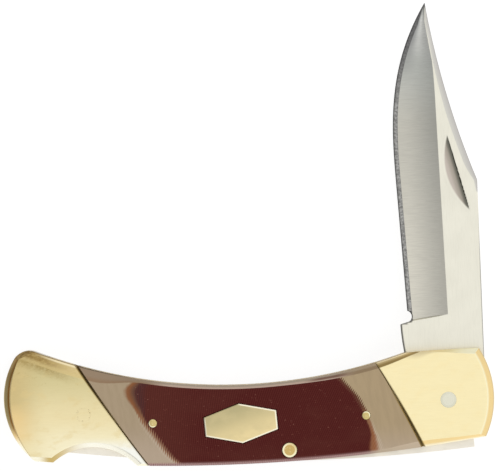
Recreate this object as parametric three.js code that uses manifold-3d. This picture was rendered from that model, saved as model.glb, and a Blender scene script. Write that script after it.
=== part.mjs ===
// Folding pocket knife with a rear lock, lying on its side with the blade half open.
// Millimetres. +X runs along the handle towards the pivot end, +Y towards the side that the blade
// opens from, and +Z through the thickness. The origin is on the pivot's axis, at the outer face of
// the lower bolster. The lock bar is drawn flush with the back and then turned about its pin to
// where the half-open tang holds it.

import * as THREE from 'three';
import { mergeVertices } from 'three/addons/utils/BufferGeometryUtils.js';
import Module from 'manifold-3d';

const wasm = await Module();
wasm.setup();

// Thickness
const sideThickness = 5;
const linerThickness = 1.25;
const wellWidth = 3;
const sidePlay = 0.05;

// Handle outline: arcs, the rounded heel of the butt and the thumb notch
const closedLength = 126.4;
const noseReach = 11.8;
const noseRadius = 23.8;
const noseHeight = 0.22;
const buttBelowBack = 3.3;
const buttHeight = 0.4;
const heelRadius = 4.4;
const bellyLowFromButt = 55.95;
const bellyHeight = 3.66;
const bellyRadius = 138;
const backLowFromButt = 41.1;
const backDepth = 17.1;
const backRadius = 457.5;
const shoulderCrownX = 18;
const shoulderCrownHeight = 13.5;
const shoulderRadius = 300;
const notchFromButt = 23.1;
const notchRadius = 15.5;
const notchRise = 4.85;

// Bevel round the outer faces of the bolsters and scales. Along the concave front it is wide at
// the heel, narrow on the scale and wider at the front joint, and it runs out into the shoulder
const bevelDepth = 1.3;
const noseBevelWidth = 1.8;
const shoulderBevelWidth = 1.5;
const shoulderBevelFullX = 8;
const scaleBevelWidth = 0.92;
const frontBevelWidth = 1.6;
const frontBevelStartX = -45;
const frontBevelEndWidth = 1.1;
const frontBevelEndX = -8.3;
const heelBevelWidth = 3;
const heelBevelEvenFromButt = 23.6;
const heelBevelEndFromButt = 35.6;
const heelBevelRadius = 0.3;
const buttBevelWidth = 1.6;
const buttBevelRadius = 24.2;
const backBevelWidth = 0.6;
const jointBackBevelWidth = 1.6;
const jointBackBevelStartX = -20;
const noseBackBevelWidth = 0.9;
const notchBevelWidth = 1.2;

// Mitred joints between the bolsters and the scales
const rearJointTopFromButt = 18.84;
const rearJointBottomFromButt = 37.43;
const frontJointTopFromPivot = 18.83;
const frontJointBottomFromPivot = 6.46;
const jointBow = 0.3;
const jointGap = 0.36;
const jointOverrun = 0.3;

// Pins
const pinPlay = 0.05;
const pinEdge = 0.2;
const pivotRadius = 2.05;
const lockPinRadius = 1.9;
const lockPinFromPivot = 40.9;
const lockPinAboveBack = 2.9;
const buttPinRadius = 1.75;
const buttPinFromButt = 20.6;
const buttPinDepth = 3.9;
const springPinRadius = 1.25;
const springPinFromButt = 6.1;
const springPinDepth = 1.5;
const scalePinRadius = 1.1;
const rearScalePinFromButt = 38.4;
const rearScalePinDepth = 6.1;
const frontScalePinFromPivot = 21.2;
const frontScalePinDepth = 4.05;

// Shield let into the upper scale
const shieldBehindMiddle = 4.7;
const shieldDepth = 6.2;
const shieldHalfLength = 9.5;
const shieldEndHalf = 2.55;
const shieldMiddleHalf = 5.25;
const shieldTilt = 6;
const shieldThickness = 1;
const shieldPlay = 0.08;
const shieldEdge = 0.3;

// Blade, drawn along its own line: u from the pivot to the tip, v towards the cutting edge
const openAngle = 8.3;
const restAngle = 92.3;
const shutAngle = 176.3;
const spineOffset = 9.83;
const tipToButt = 11.88;
const tipV = 1.9;
const clipLength = 46.3;
const clipRadius = 222;
const swedgeWidth = 1.2;
const swedgeHalf = 0.45;
const swedgeTipShare = 0.25;
const clipBlend = 2;
const spineBreak = 0.12;
const ricassoLength = 20.6;
const plungeLength = 1.1;
const plungeSlant = 1.2;
const grindRise = 0.0195;
const grindStartV = -0.95;
const grindTurnU = 78;
const grindTurnCurve = 0.0027;
const hollowSag = 0.22;
const edgeBevelWidth = 1.25;
const edgeBevelHalf = 0.4;
const edgeHalf = 0.05;
const edgeStartV = 8.47;
const edgeSlope = 0.0472;
const tipBlunt = 0.35;
const bellyStartFromTip = 46.8;
const bellyStartHandle = 14.8;
const bellyTipHandle = 19.7;
const bellyTipAngle = -32.4;
const tipTaper = 0.22;
const choilFromRicasso = 1.15;
const choilV = 10;
const choilRadius = 1.55;
const kickFaceSetback = 0.6;
const kickCrownSetback = 2.6;
const kickCrownV = 11.6;
const kickRadius = 17;

// Nail nick: a straight wall towards the spine and a floor that slopes up towards the edge
const nickU = 58.35;
const nickV = -5.1;
const nickHalfLength = 9.85;
const nickWidth = 2.95;
const nickDepth = 0.7;
const nickTilt = 14.5;

// Lock bar and lock
const barLift = 2.7;
const barTailFromButt = 11.6;
const barFrontFromPivot = 6.85;
const lugLength = 4.4;
const lugHeight = 4.2;
const lugSeatClearance = 0.12;
const lugRideClearance = 0.05;
const kickClearance = 0.1;
const kickSeatReach = 1;
const neckLength = 9.4;
const bossRadius = 3.15;
const bossRamp = 6;
const bossStartAngle = 12;
const springSeatThickness = 4.2;
const tailThickness = 2.8;
const tailTaperFromButt = 25.8;

// Back spring
const springPressTurn = 1.2;
const springBarClearance = 0.15;
const springEdgeClearance = 0.45;
const fingerThickness = 2.6;
const fingerTipFromLockPin = 20.1;
const fingerTipRadius = 1.5;
const tipRoundFrom = 200;
const tipRoundTo = 350;
const fingerRootFromButt = 30.8;
const blockFaceFromButt = 11;
const tipPocketClearance = 0.9;

// How far joined pieces lap, and cutters run past what they cut
const joinOverlap = 0.1;
const cutPast = 1;

// Levels through the thickness
const levelScaleInner = sideThickness;
const levelWellFloor = levelScaleInner + linerThickness;
const levelWellRoof = levelWellFloor + wellWidth;
const levelUpperScale = levelWellRoof + linerThickness;
const levelTop = levelUpperScale + sideThickness;
const levelMiddle = (levelWellFloor + levelWellRoof) / 2;
const bladeHalf = wellWidth / 2 - sidePlay;

// Places worked out from the sizes above
const buttX = noseReach - closedLength;
const buttRadius = backDepth + buttBelowBack;
const bladeReach = closedLength - noseReach - tipToButt;
const degrees = Math.PI / 180;
const lockPinX = -lockPinFromPivot;
const fingerTipX = lockPinX - fingerTipFromLockPin;
const choilU = ricassoLength + choilFromRicasso;
const kickFaceU = ricassoLength - kickFaceSetback;
const kickCrownU = ricassoLength - kickCrownSetback;

const brass = { color: 0xe2c67e, roughness: 0.3, metalness: 1 };
const pinBrass = { color: 0xc9a75f, roughness: 0.3, metalness: 1 };
const steel = { color: 0xd6d3c8, roughness: 0.28, metalness: 1 };
const springSteel = { color: 0xb9b7b0, roughness: 0.4, metalness: 1 };
const scaleResin = { color: 0x5a2620, roughness: 0.35, metalness: 0 };

const knife = new THREE.Group();

// Small plane geometry

function point(x, y) {
  return new THREE.Vector2(x, y);
}

function turned(p, angle, centre = point(0, 0)) {
  return p.clone().rotateAround(centre, angle * degrees);
}

// An arc has a centre, a radius and a side: +1 where the material lies outside the circle
function insetArc(arc, width) {
  return { ...arc, radius: arc.radius + arc.side * width };
}

// The crossing of two circles that is nearer to the hint, or the point where they only touch
function crossing(a, b, hint) {
  const across = b.centre.clone().sub(a.centre);
  const distance = across.length();
  const along = (distance ** 2 + a.radius ** 2 - b.radius ** 2) / (2 * distance);
  const off = Math.sqrt(Math.max(0, a.radius ** 2 - along ** 2));
  across.normalize();
  const foot = a.centre.clone().addScaledVector(across, along);
  const normal = point(-across.y, across.x);
  const one = foot.clone().addScaledVector(normal, off);
  const two = foot.clone().addScaledVector(normal, -off);
  return one.distanceTo(hint) < two.distanceTo(hint) ? one : two;
}

// Points along an arc from one corner towards the next, without the last, each inset by the width
// that is given for its x
function arcPoints(arc, from, to, steps, width = () => 0) {
  const start = Math.atan2(from.y - arc.centre.y, from.x - arc.centre.x);
  const end = Math.atan2(to.y - arc.centre.y, to.x - arc.centre.x);
  const sweep = Math.atan2(Math.sin(end - start), Math.cos(end - start));
  const points = [];
  for (let i = 0; i < steps; i += 1) {
    const angle = start + (sweep * i) / steps;
    const way = point(Math.cos(angle), Math.sin(angle));
    const inset = insetArc(arc, width(arc.centre.x + arc.radius * way.x));
    points.push(arc.centre.clone().addScaledVector(way, inset.radius));
  }
  return points;
}

// The centre of the circle through two points, on the left of the way from one to the other
function centreLeftOf(from, to, radius) {
  const middle = from.clone().lerp(to, 0.5);
  const half = from.distanceTo(to) / 2;
  const way = to.clone().sub(from).normalize();
  return middle.addScaledVector(point(-way.y, way.x), Math.sqrt(radius ** 2 - half ** 2));
}

// Handle outline

const arcs = {
  nose: { centre: point(noseReach - noseRadius, noseHeight), radius: noseRadius, side: -1 },
  shoulder: {
    centre: point(shoulderCrownX, shoulderCrownHeight - shoulderRadius),
    radius: shoulderRadius,
    side: -1,
  },
  belly: {
    centre: point(buttX + bellyLowFromButt, bellyHeight + bellyRadius),
    radius: bellyRadius,
    side: 1,
  },
  butt: { centre: point(buttX + buttRadius, buttHeight), radius: buttRadius, side: -1 },
  back: {
    centre: point(buttX + backLowFromButt, backRadius - backDepth),
    radius: backRadius,
    side: -1,
  },
  notch: {
    centre: point(buttX + notchFromButt, notchRise - backDepth - notchRadius),
    radius: notchRadius,
    side: 1,
  },
};
arcs.beak = arcs.back;
arcs.heel = heelArc(arcs.belly, arcs.butt, heelRadius);

// The arc that rounds the corner between the concave front and the butt
function heelArc(belly, butt, radius) {
  return {
    centre: crossing(
      { centre: belly.centre, radius: belly.radius + radius },
      { centre: butt.centre, radius: butt.radius - radius },
      point(buttX, shoulderCrownHeight),
    ),
    radius,
    side: -1,
  };
}

// The bevel's inner edge has arcs of its own at the butt and the heel
const bevelArcs = {
  ...arcs,
  butt: {
    centre: point(buttX + buttBevelWidth + buttBevelRadius, buttHeight),
    radius: buttBevelRadius,
    side: -1,
  },
};
bevelArcs.heel = heelArc(insetArc(arcs.belly, heelBevelWidth), bevelArcs.butt, heelBevelRadius);

// The stretches in order round the outline, each with its number of steps
const stretches = [
  ['nose', 12], ['shoulder', 8], ['belly', 44], ['heel', 5], ['butt', 13], ['beak', 2], ['notch', 14],
  ['back', 26],
];

// Rough places of the corners where each stretch starts
const cornerHints = {
  nose: point(noseReach, -backDepth / 2),
  shoulder: point(noseReach, shoulderCrownHeight),
  belly: point(frontBevelEndX, shoulderCrownHeight),
  heel: arcs.heel.centre.clone().add(point(0, heelRadius)),
  butt: arcs.heel.centre.clone().add(point(-heelRadius, 0)),
  beak: point(buttX, -backDepth),
  notch: point(buttX + notchFromButt - notchRadius, -backDepth),
  back: point(buttX + notchFromButt + notchRadius, -backDepth),
};

function smooth(value, from, to) {
  return THREE.MathUtils.smoothstep(value, from, to);
}

// How far the bevel reaches in from the concave front at x
function bellyBevelWidth(x) {
  const evenX = buttX + heelBevelEvenFromButt;
  const endX = buttX + heelBevelEndFromButt;
  const atHeel = (heelBevelWidth - scaleBevelWidth) * (1 - smooth(x, evenX, endX));
  const atFront = (frontBevelWidth - scaleBevelWidth)
    * smooth(x, frontBevelStartX, -frontJointTopFromPivot);
  const beyond = (frontBevelEndWidth - frontBevelWidth)
    * smooth(x, -frontJointTopFromPivot, frontBevelEndX);
  return scaleBevelWidth + atHeel + atFront + beyond;
}

// How far it reaches in from the back at x: widest at the front joint
function backBevelWidthAt(x) {
  const toJoint = (jointBackBevelWidth - backBevelWidth)
    * smooth(x, jointBackBevelStartX, -frontJointBottomFromPivot);
  const toNose = (noseBackBevelWidth - jointBackBevelWidth)
    * smooth(x, -frontJointBottomFromPivot, noseReach - noseBevelWidth);
  return backBevelWidth + toJoint + toNose;
}

// How far the bevel reaches in from each stretch at x; nothing is added to the bevel's own arcs
const bevelWidths = {
  nose: () => noseBevelWidth,
  shoulder: (x) => shoulderBevelWidth * smooth(x, frontBevelEndX, shoulderBevelFullX),
  belly: bellyBevelWidth,
  heel: () => 0,
  butt: () => 0,
  beak: () => notchBevelWidth,
  notch: () => notchBevelWidth,
  back: backBevelWidthAt,
};

// The handle's outline, or the outline that the bevel leaves on the outer face; both have as many
// points
function handleOutline(bevelled = false) {
  const ring = stretches.map(([name, steps]) => ({
    steps,
    hint: cornerHints[name],
    arc: bevelled ? bevelArcs[name] : arcs[name],
    width: bevelled ? bevelWidths[name] : () => 0,
  }));
  const corners = ring.map((stretch, i) => {
    const before = ring[(i + ring.length - 1) % ring.length];
    const [one, two] = [before, stretch].map(({ arc, width }) => insetArc(arc, width(stretch.hint.x)));
    return crossing(one, two, stretch.hint);
  });
  return ring.flatMap(({ arc, steps, width }, i) => (
    arcPoints(arc, corners[i], corners[(i + 1) % ring.length], steps, width)
  ));
}

// A point on the handle's back at x, and a point raised from it into the handle
function backPoint(x, raised = 0) {
  const { centre, radius } = arcs.back;
  const y = centre.y - Math.sqrt(radius ** 2 - (x - centre.x) ** 2);
  const inwards = point(centre.x - x, centre.y - y).normalize();
  return point(x, y).addScaledVector(inwards, raised);
}

// A point on the concave front of the handle at x
function bellyPoint(x) {
  const { centre, radius } = arcs.belly;
  return point(x, centre.y - Math.sqrt(radius ** 2 - (x - centre.x) ** 2));
}

// Solids

function toSolid(geometry) {
  const bare = geometry.clone();
  bare.deleteAttribute('normal');
  bare.deleteAttribute('uv');
  const merged = mergeVertices(bare, 1e-5);
  return new wasm.Manifold(new wasm.Mesh({
    numProp: 3,
    vertProperties: new Float32Array(merged.attributes.position.array),
    triVerts: new Uint32Array(merged.index.array),
  }));
}

function prism(outline, low, high) {
  const geometry = new THREE.ExtrudeGeometry(new THREE.Shape(outline), {
    depth: high - low,
    bevelEnabled: false,
  });
  geometry.translate(0, 0, low);
  return toSolid(geometry);
}

function disc(x, y, radius, steps) {
  const points = [];
  for (let i = 0; i < steps; i += 1) {
    const angle = (2 * Math.PI * i) / steps;
    points.push(point(x + radius * Math.cos(angle), y + radius * Math.sin(angle)));
  }
  return points;
}

function drill(centre, radius, low, high, steps = 40) {
  return prism(disc(centre.x, centre.y, radius + pinPlay, steps), low, high);
}

// Triangles that close a flat end: any outline, and a section whose second half mirrors its first
function flatCap(outline) {
  return THREE.ShapeUtils.triangulateShape(outline, []);
}

function mirroredCap(count) {
  const triangles = [];
  for (let i = 0; i + 1 < count / 2; i += 1) {
    const opposite = count - 1 - i;
    triangles.push([i, i + 1, opposite - 1], [i, opposite - 1, opposite]);
  }
  return triangles;
}

// A solid through rings of points: the sides join ring to ring, and caps close both ends
function loft(rings, caps) {
  const count = rings[0].length;
  const triangles = [];
  for (let r = 0; r + 1 < rings.length; r += 1) {
    for (let i = 0; i < count; i += 1) {
      const next = (i + 1) % count;
      const here = r * count;
      const there = here + count;
      triangles.push(here + i, here + next, there + next, here + i, there + next, there + i);
    }
  }
  const last = (rings.length - 1) * count;
  caps[0].forEach(([a, b, c]) => triangles.push(a, c, b));
  caps[1].forEach(([a, b, c]) => triangles.push(last + a, last + b, last + c));
  const points = rings.flat();
  if (signedVolume(points, triangles) < 0) triangles.reverse();
  const geometry = new THREE.BufferGeometry().setFromPoints(points);
  geometry.setIndex(triangles);
  return toSolid(geometry);
}

function signedVolume(points, triangles) {
  let volume = 0;
  for (let i = 0; i < triangles.length; i += 3) {
    const [a, b, c] = [points[triangles[i]], points[triangles[i + 1]], points[triangles[i + 2]]];
    volume += a.dot(b.clone().cross(c)) / 6;
  }
  return volume;
}

function lifted(outline, z) {
  return outline.map((p) => new THREE.Vector3(p.x, p.y, z));
}

function addPiece(name, solid, look, parent = knife) {
  const mesh = solid.getMesh();
  const geometry = new THREE.BufferGeometry();
  geometry.setAttribute('position', new THREE.BufferAttribute(new Float32Array(mesh.vertProperties), 3));
  geometry.setIndex(new THREE.BufferAttribute(new Uint32Array(mesh.triVerts), 1));
  const piece = new THREE.Mesh(geometry, new THREE.MeshStandardMaterial(look));
  piece.name = name;
  parent.add(piece);
}

// Pins: round bars with their ends' edges broken

function addPin(name, centre, radius, low, high, look, steps = 40) {
  const height = high - low;
  const profile = [
    point(0, 0), point(radius - pinEdge, 0), point(radius, pinEdge),
    point(radius, height - pinEdge), point(radius - pinEdge, height), point(0, height),
  ];
  const geometry = new THREE.LatheGeometry(profile, steps);
  geometry.rotateX(Math.PI / 2);
  geometry.translate(centre.x, centre.y, low);
  addPiece(name, toSolid(geometry), look);
}

const pivot = point(0, 0);
const lockPin = point(lockPinX, backPoint(lockPinX).y + lockPinAboveBack);
const buttPin = point(buttX + buttPinFromButt, -buttPinDepth);
const springPin = point(buttX + springPinFromButt, -springPinDepth);
const scalePins = {
  rear: point(buttX + rearScalePinFromButt, -rearScalePinDepth),
  front: point(-frontScalePinFromPivot, -frontScalePinDepth),
};
const shieldCentre = point(
  (scalePins.rear.x + scalePins.front.x) / 2 - shieldBehindMiddle,
  -shieldDepth,
);

// Bolsters and scales: one bevelled side, cut at the mitred joints

function side(upper) {
  const full = handleOutline();
  const inset = handleOutline(true);
  const levels = upper
    ? [levelUpperScale, levelTop - bevelDepth, levelTop]
    : [levelScaleInner, bevelDepth, 0];
  const rings = [lifted(full, levels[0]), lifted(full, levels[1]), lifted(inset, levels[2])];
  return loft(rings, [flatCap(full), flatCap(inset)]);
}

// A joint run on past both ends by a share of its length, slightly bowed, moved along X by shift
function jointLine(top, bottom, bow, shift) {
  const reach = jointOverrun;
  const steps = 8;
  const points = [];
  for (let i = 0; i <= steps; i += 1) {
    const t = -reach + (i / steps) * (1 + 2 * reach);
    const p = top.clone().lerp(bottom, t);
    p.x += shift + bow * 4 * t * (1 - t);
    points.push(p);
  }
  return points;
}

const rearJoint = [
  bellyPoint(buttX + rearJointTopFromButt),
  backPoint(buttX + rearJointBottomFromButt),
  -jointBow,
];
const frontJoint = [
  bellyPoint(-frontJointTopFromPivot),
  backPoint(-frontJointBottomFromPivot),
  jointBow,
];

function addSide(upper) {
  const low = (upper ? levelUpperScale : 0) - cutPast;
  const high = (upper ? levelTop : levelScaleInner) + cutPast;
  const suffix = upper ? '_upper' : '_lower';
  const slab = side(upper);
  const half = jointGap / 2;
  const rearEdge = jointLine(...rearJoint, -half);
  const frontEdge = jointLine(...frontJoint, half);
  const farLeft = buttX - buttRadius;
  const farRight = noseReach + noseRadius;
  const rearCut = prism(
    [point(farLeft, rearEdge[0].y), point(farLeft, rearEdge.at(-1).y), ...rearEdge.toReversed()],
    low,
    high,
  );
  const frontCut = prism(
    [point(farRight, frontEdge.at(-1).y), point(farRight, frontEdge[0].y), ...frontEdge],
    low,
    high,
  );
  const middleCut = prism(
    [...jointLine(...rearJoint, half), ...jointLine(...frontJoint, -half).toReversed()],
    low,
    high,
  );
  let scale = slab.intersect(middleCut).subtract(drill(lockPin, lockPinRadius, low, high));
  Object.values(scalePins).forEach((place) => {
    scale = scale.subtract(drill(place, scalePinRadius, low, high, 24));
  });
  if (upper) {
    scale = scale.subtract(prism(shieldOutline(shieldPlay), levelTop - shieldThickness, high));
  }
  addPiece(`scale${suffix}`, scale, scaleResin);
  addPiece(
    `rear_bolster${suffix}`,
    slab.intersect(rearCut).subtract(drill(buttPin, buttPinRadius, low, high)),
    brass,
  );
  addPiece(
    `front_bolster${suffix}`,
    slab.intersect(frontCut).subtract(drill(pivot, pivotRadius, low, high)),
    brass,
  );
}

// Shield

function shieldOutline(grow) {
  const halfLength = shieldHalfLength + grow;
  const end = shieldEndHalf + grow;
  const middle = shieldMiddleHalf + grow;
  const corners = [
    [-halfLength, -end], [0, -middle], [halfLength, -end],
    [halfLength, end], [0, middle], [-halfLength, end],
  ];
  return corners.map(([x, y]) => turned(point(x, y), shieldTilt).add(shieldCentre));
}

function addShield() {
  const full = shieldOutline(0);
  const inset = shieldOutline(-shieldEdge);
  const rings = [
    lifted(full, levelTop - shieldThickness),
    lifted(full, levelTop - shieldEdge / 2),
    lifted(inset, levelTop),
  ];
  addPiece('shield', loft(rings, [flatCap(full), flatCap(inset)]), brass);
}

// Liners: thin plates of the handle's full outline

function addLiner(name, low, high) {
  let liner = prism(handleOutline(), low, high);
  const holes = [
    [pivot, pivotRadius, 40], [lockPin, lockPinRadius, 40], [buttPin, buttPinRadius, 40],
    [springPin, springPinRadius, 24], [scalePins.rear, scalePinRadius, 24],
    [scalePins.front, scalePinRadius, 24],
  ];
  holes.forEach(([centre, radius, steps]) => {
    liner = liner.subtract(drill(centre, radius, low - cutPast, high + cutPast, steps));
  });
  addPiece(name, liner, brass);
}

// Lock bar, in its flush place: its outer face is the handle's back, and its inner face is given
// by its thickness along the back, with a round boss over its pin

const barTailX = buttX + barTailFromButt;
const barFrontX = barFrontFromPivot;
const lugHeelX = barFrontX - lugLength;
const tangRadius = toRestBar(backPoint(lugHeelX, lugHeight)).length() - lugRideClearance;
const kickCentre = point(kickCrownU, kickCrownV - kickRadius);
const shutKick = turned(point(kickCrownU, kickCrownV), shutAngle);

// The bar's thickness left under a round part of the blade
function thicknessUnder(centre, radius, clearance) {
  return backRadius - centre.distanceTo(arcs.back.centre) - radius - clearance;
}

const neckThickness = thicknessUnder(pivot, tangRadius, lugSeatClearance);
const kickSeatThickness = thicknessUnder(turned(kickCentre, shutAngle), kickRadius, kickClearance);

function barOutline() {
  const steps = 28;
  const outer = [];
  for (let i = 0; i <= steps; i += 1) {
    outer.push(backPoint(barTailX + ((barFrontX - barTailX) * i) / steps));
  }
  const boss = [];
  const bossSteps = 10;
  for (let i = 0; i <= bossSteps; i += 1) {
    const angle = bossStartAngle + ((180 - 2 * bossStartAngle) * i) / bossSteps;
    boss.push(turned(point(bossRadius, 0), angle).add(lockPin));
  }
  return [
    ...outer,
    backPoint(barFrontX, lugHeight),
    backPoint(lugHeelX, lugHeight),
    backPoint(lugHeelX - lugSeatClearance, neckThickness),
    backPoint(lugHeelX - neckLength, neckThickness),
    backPoint(shutKick.x + kickSeatReach, kickSeatThickness),
    backPoint(lockPinX + bossRadius + bossRamp, kickSeatThickness),
    ...boss,
    backPoint(lockPinX - bossRadius - bossRamp, springSeatThickness),
    backPoint(fingerTipX - 2 * fingerTipRadius, springSeatThickness),
    backPoint(buttX + tailTaperFromButt, tailThickness),
    backPoint(barTailX, tailThickness),
  ];
}

function toRestBar(p, extraTurn = 0) {
  return turned(p, -barLift - extraTurn, lockPin);
}

function addLockBar() {
  const bar = prism(barOutline(), levelWellFloor + sidePlay, levelWellRoof - sidePlay)
    .subtract(drill(lockPin, lockPinRadius, levelWellFloor, levelWellRoof));
  const frame = new THREE.Group();
  frame.position.set(lockPin.x, lockPin.y, 0);
  frame.rotation.z = -barLift * degrees;
  knife.add(frame);
  addPiece('lock_bar', bar.translate(-lockPin.x, -lockPin.y, 0), steel, frame);
}

// Blade

const tip = point(bladeReach, tipV);
const clipStart = point(bladeReach - clipLength, -spineOffset);
const clipCentre = centreLeftOf(tip, clipStart, clipRadius);
const bellyStart = point(
  bladeReach - bellyStartFromTip,
  edgeStartV + edgeSlope * (bladeReach - bellyStartFromTip),
);
const bellyCurve = new THREE.CubicBezierCurve(
  bellyStart,
  bellyStart.clone().add(point(1, edgeSlope).normalize().multiplyScalar(bellyStartHandle)),
  tip.clone().sub(turned(point(bellyTipHandle, 0), bellyTipAngle)),
  tip,
);

function edgeAt(u) {
  if (u <= bellyStart.x) return edgeStartV + edgeSlope * u;
  let low = 0;
  let high = 1;
  for (let i = 0; i < 40; i += 1) {
    const middle = (low + high) / 2;
    if (bellyCurve.getPoint(middle).x < u) low = middle;
    else high = middle;
  }
  return bellyCurve.getPoint(low).y;
}

function spineAt(u) {
  if (u <= clipStart.x) return -spineOffset;
  return clipCentre.y + Math.sqrt(clipRadius ** 2 - (u - clipCentre.x) ** 2);
}

function grindAt(u) {
  const turn = Math.max(0, u - grindTurnU);
  return grindStartV + grindRise * (u - ricassoLength) + grindTurnCurve * turn ** 2;
}

// One section across the ground blade: v and half thickness from the spine to the edge
function bladeSection(u) {
  const spine = spineAt(u);
  const edge = edgeAt(u);
  const width = edge - spine;
  const half = Math.min(bladeHalf, edgeHalf + tipTaper * width);
  const ground = (t) => {
    const start = ricassoLength + plungeSlant * (1 - t);
    return smooth(u, start, start + plungeLength);
  };
  const clip = smooth(u, clipStart.x - clipBlend, clipStart.x + 3 * clipBlend);
  const narrowing = (1 - swedgeTipShare) * smooth(u, clipStart.x + 5 * clipBlend, bladeReach);
  const swedgeShare = clip * (1 - narrowing);
  const swedge = Math.min(spineBreak + swedgeWidth * swedgeShare, 0.25 * width);
  const spineHalf = half * (1 - (1 - swedgeHalf / bladeHalf) * clip) - spineBreak * (1 - clip);
  const bevelV = edge - Math.min(edgeBevelWidth, 0.3 * width);
  const grindV = THREE.MathUtils.clamp(grindAt(u), spine + swedge + 0.02 * width, bevelV - 0.1 * width);
  const shoulderHalf = Math.min(edgeBevelHalf, 0.6 * half);
  const section = [[spine, spineHalf], [spine + swedge, half], [grindV, half]];
  const steps = 5;
  for (let i = 1; i <= steps; i += 1) {
    const t = i / steps;
    const chord = half + (shoulderHalf - half) * t;
    const hollow = chord - hollowSag * (half / bladeHalf) * 4 * t * (1 - t);
    section.push([grindV + (bevelV - grindV) * t, half + (hollow - half) * ground(t)]);
  }
  section.push([edge, half + (edgeHalf - half) * ground(1)]);
  return section;
}

// Where the ground part has its sections: close together at the plunge, the clip and the tip
function bladeStations() {
  const spread = (from, to, steps, place = (t) => t) => (
    Array.from({ length: steps }, (_, i) => from + (to - from) * place((i + 1) / steps))
  );
  const plungeEnd = ricassoLength + plungeLength + plungeSlant;
  const clipFrom = clipStart.x - clipBlend;
  const clipTo = clipStart.x + 3 * clipBlend;
  return [
    ricassoLength - joinOverlap,
    ricassoLength,
    ...spread(ricassoLength, plungeEnd, 7),
    ...spread(plungeEnd, clipFrom, 5),
    ...spread(clipFrom, clipTo, 4),
    ...spread(clipTo, bladeReach - tipBlunt, 18, (t) => t * (2 - t)),
  ];
}

function groundBlade() {
  const stations = bladeStations();
  const sections = stations.map(bladeSection);
  const rings = sections.map((section, i) => [
    ...section.map(([v, half]) => new THREE.Vector3(stations[i], v, levelMiddle + half)),
    ...section.toReversed().map(([v, half]) => new THREE.Vector3(stations[i], v, levelMiddle - half)),
  ]);
  const cap = mirroredCap(rings[0].length);
  return loft(rings, [cap, cap]);
}

// The nick's cutter: wedges along its straight wall, deepest in the middle
function nickCutter() {
  const above = 0.1;
  const steps = 16;
  const slope = nickDepth / nickWidth;
  const reach = nickHalfLength * Math.sqrt(1 + (0.9 * above) / nickDepth);
  const face = levelMiddle + bladeHalf;
  const rings = [];
  for (let i = 0; i <= steps; i += 1) {
    const s = reach * ((2 * i) / steps - 1);
    const depth = nickDepth * (1 - (s / nickHalfLength) ** 2);
    const corners = [[0, face + above], [0, face - depth], [(depth + above) / slope, face + above]];
    rings.push(corners.map(([w, z]) => {
      const p = turned(point(s, w), nickTilt).add(point(nickU, nickV));
      return new THREE.Vector3(p.x, p.y, z);
    }));
  }
  const cap = [[0, 1, 2]];
  return loft(rings, [cap, cap]);
}

// How far the lug's space in the tang stands from the handle's back
const notchRaise = lugHeight + lugSeatClearance;

// The lug's space in the open tang, with its clearance, turned back into the blade's own line
function lockNotch(low, high) {
  const back = lugHeelX - lugSeatClearance;
  const front = barFrontX + lugSeatClearance;
  const outline = [
    backPoint(back, -lugHeight), backPoint(front, -lugHeight),
    backPoint(front, notchRaise), backPoint(back, notchRaise),
  ];
  return prism(outline.map((p) => turned(p, -openAngle)), low, high);
}

// The flat that lets the lug drop when the blade is shut; the kick's round runs out into it
const tangRound = { centre: pivot, radius: tangRadius, side: -1 };
const kickArc = { centre: kickCentre, radius: kickRadius, side: -1 };
const flatArc = {
  centre: turned(arcs.back.centre, -shutAngle),
  radius: backRadius - notchRaise,
  side: -1,
};
const kickEnd = crossing(flatArc, kickArc, point(tangRadius, kickCrownV));
const flatEnd = crossing(flatArc, tangRound, point(tangRadius, kickCrownV));

function shutFlat(low, high) {
  const left = turned(flatEnd, shutAngle).x;
  const outline = [
    backPoint(left, -lugHeight), backPoint(noseReach, -lugHeight),
    backPoint(noseReach, notchRaise), backPoint(left, notchRaise),
  ];
  return prism(outline.map((p) => turned(p, -shutAngle)), low, high);
}

function addBlade() {
  const low = levelMiddle - bladeHalf;
  const high = levelMiddle + bladeHalf;
  const kickCorner = point(
    kickFaceU,
    kickCentre.y + Math.sqrt(kickRadius ** 2 - (kickFaceU - kickCrownU) ** 2),
  );
  const plate = prism([
    point((lugHeelX + barFrontX) / 2, -spineOffset),
    point(ricassoLength, -spineOffset),
    point(ricassoLength, choilV),
    ...arcPoints(kickArc, kickCorner, kickEnd, 14),
    kickEnd,
    flatEnd,
  ], low, high);
  const tang = prism(disc(0, 0, tangRadius, 72), low, high);
  const blade = plate
    .add(tang)
    .add(groundBlade())
    .subtract(lockNotch(low - cutPast, high + cutPast))
    .subtract(shutFlat(low - cutPast, high + cutPast))
    .subtract(prism(disc(choilU, choilV, choilRadius, 24), low - cutPast, high + cutPast))
    .subtract(drill(pivot, pivotRadius, low - cutPast, high + cutPast))
    .subtract(nickCutter());
  const frame = new THREE.Group();
  frame.rotation.z = restAngle * degrees;
  knife.add(frame);
  addPiece('blade', blade, steel, frame);
}

// Back spring: a block that closes the butt, and a finger that follows the shut blade's edge

function shutEdge(u) {
  return turned(point(u, edgeAt(u)), shutAngle).add(point(0, -springEdgeClearance));
}

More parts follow.
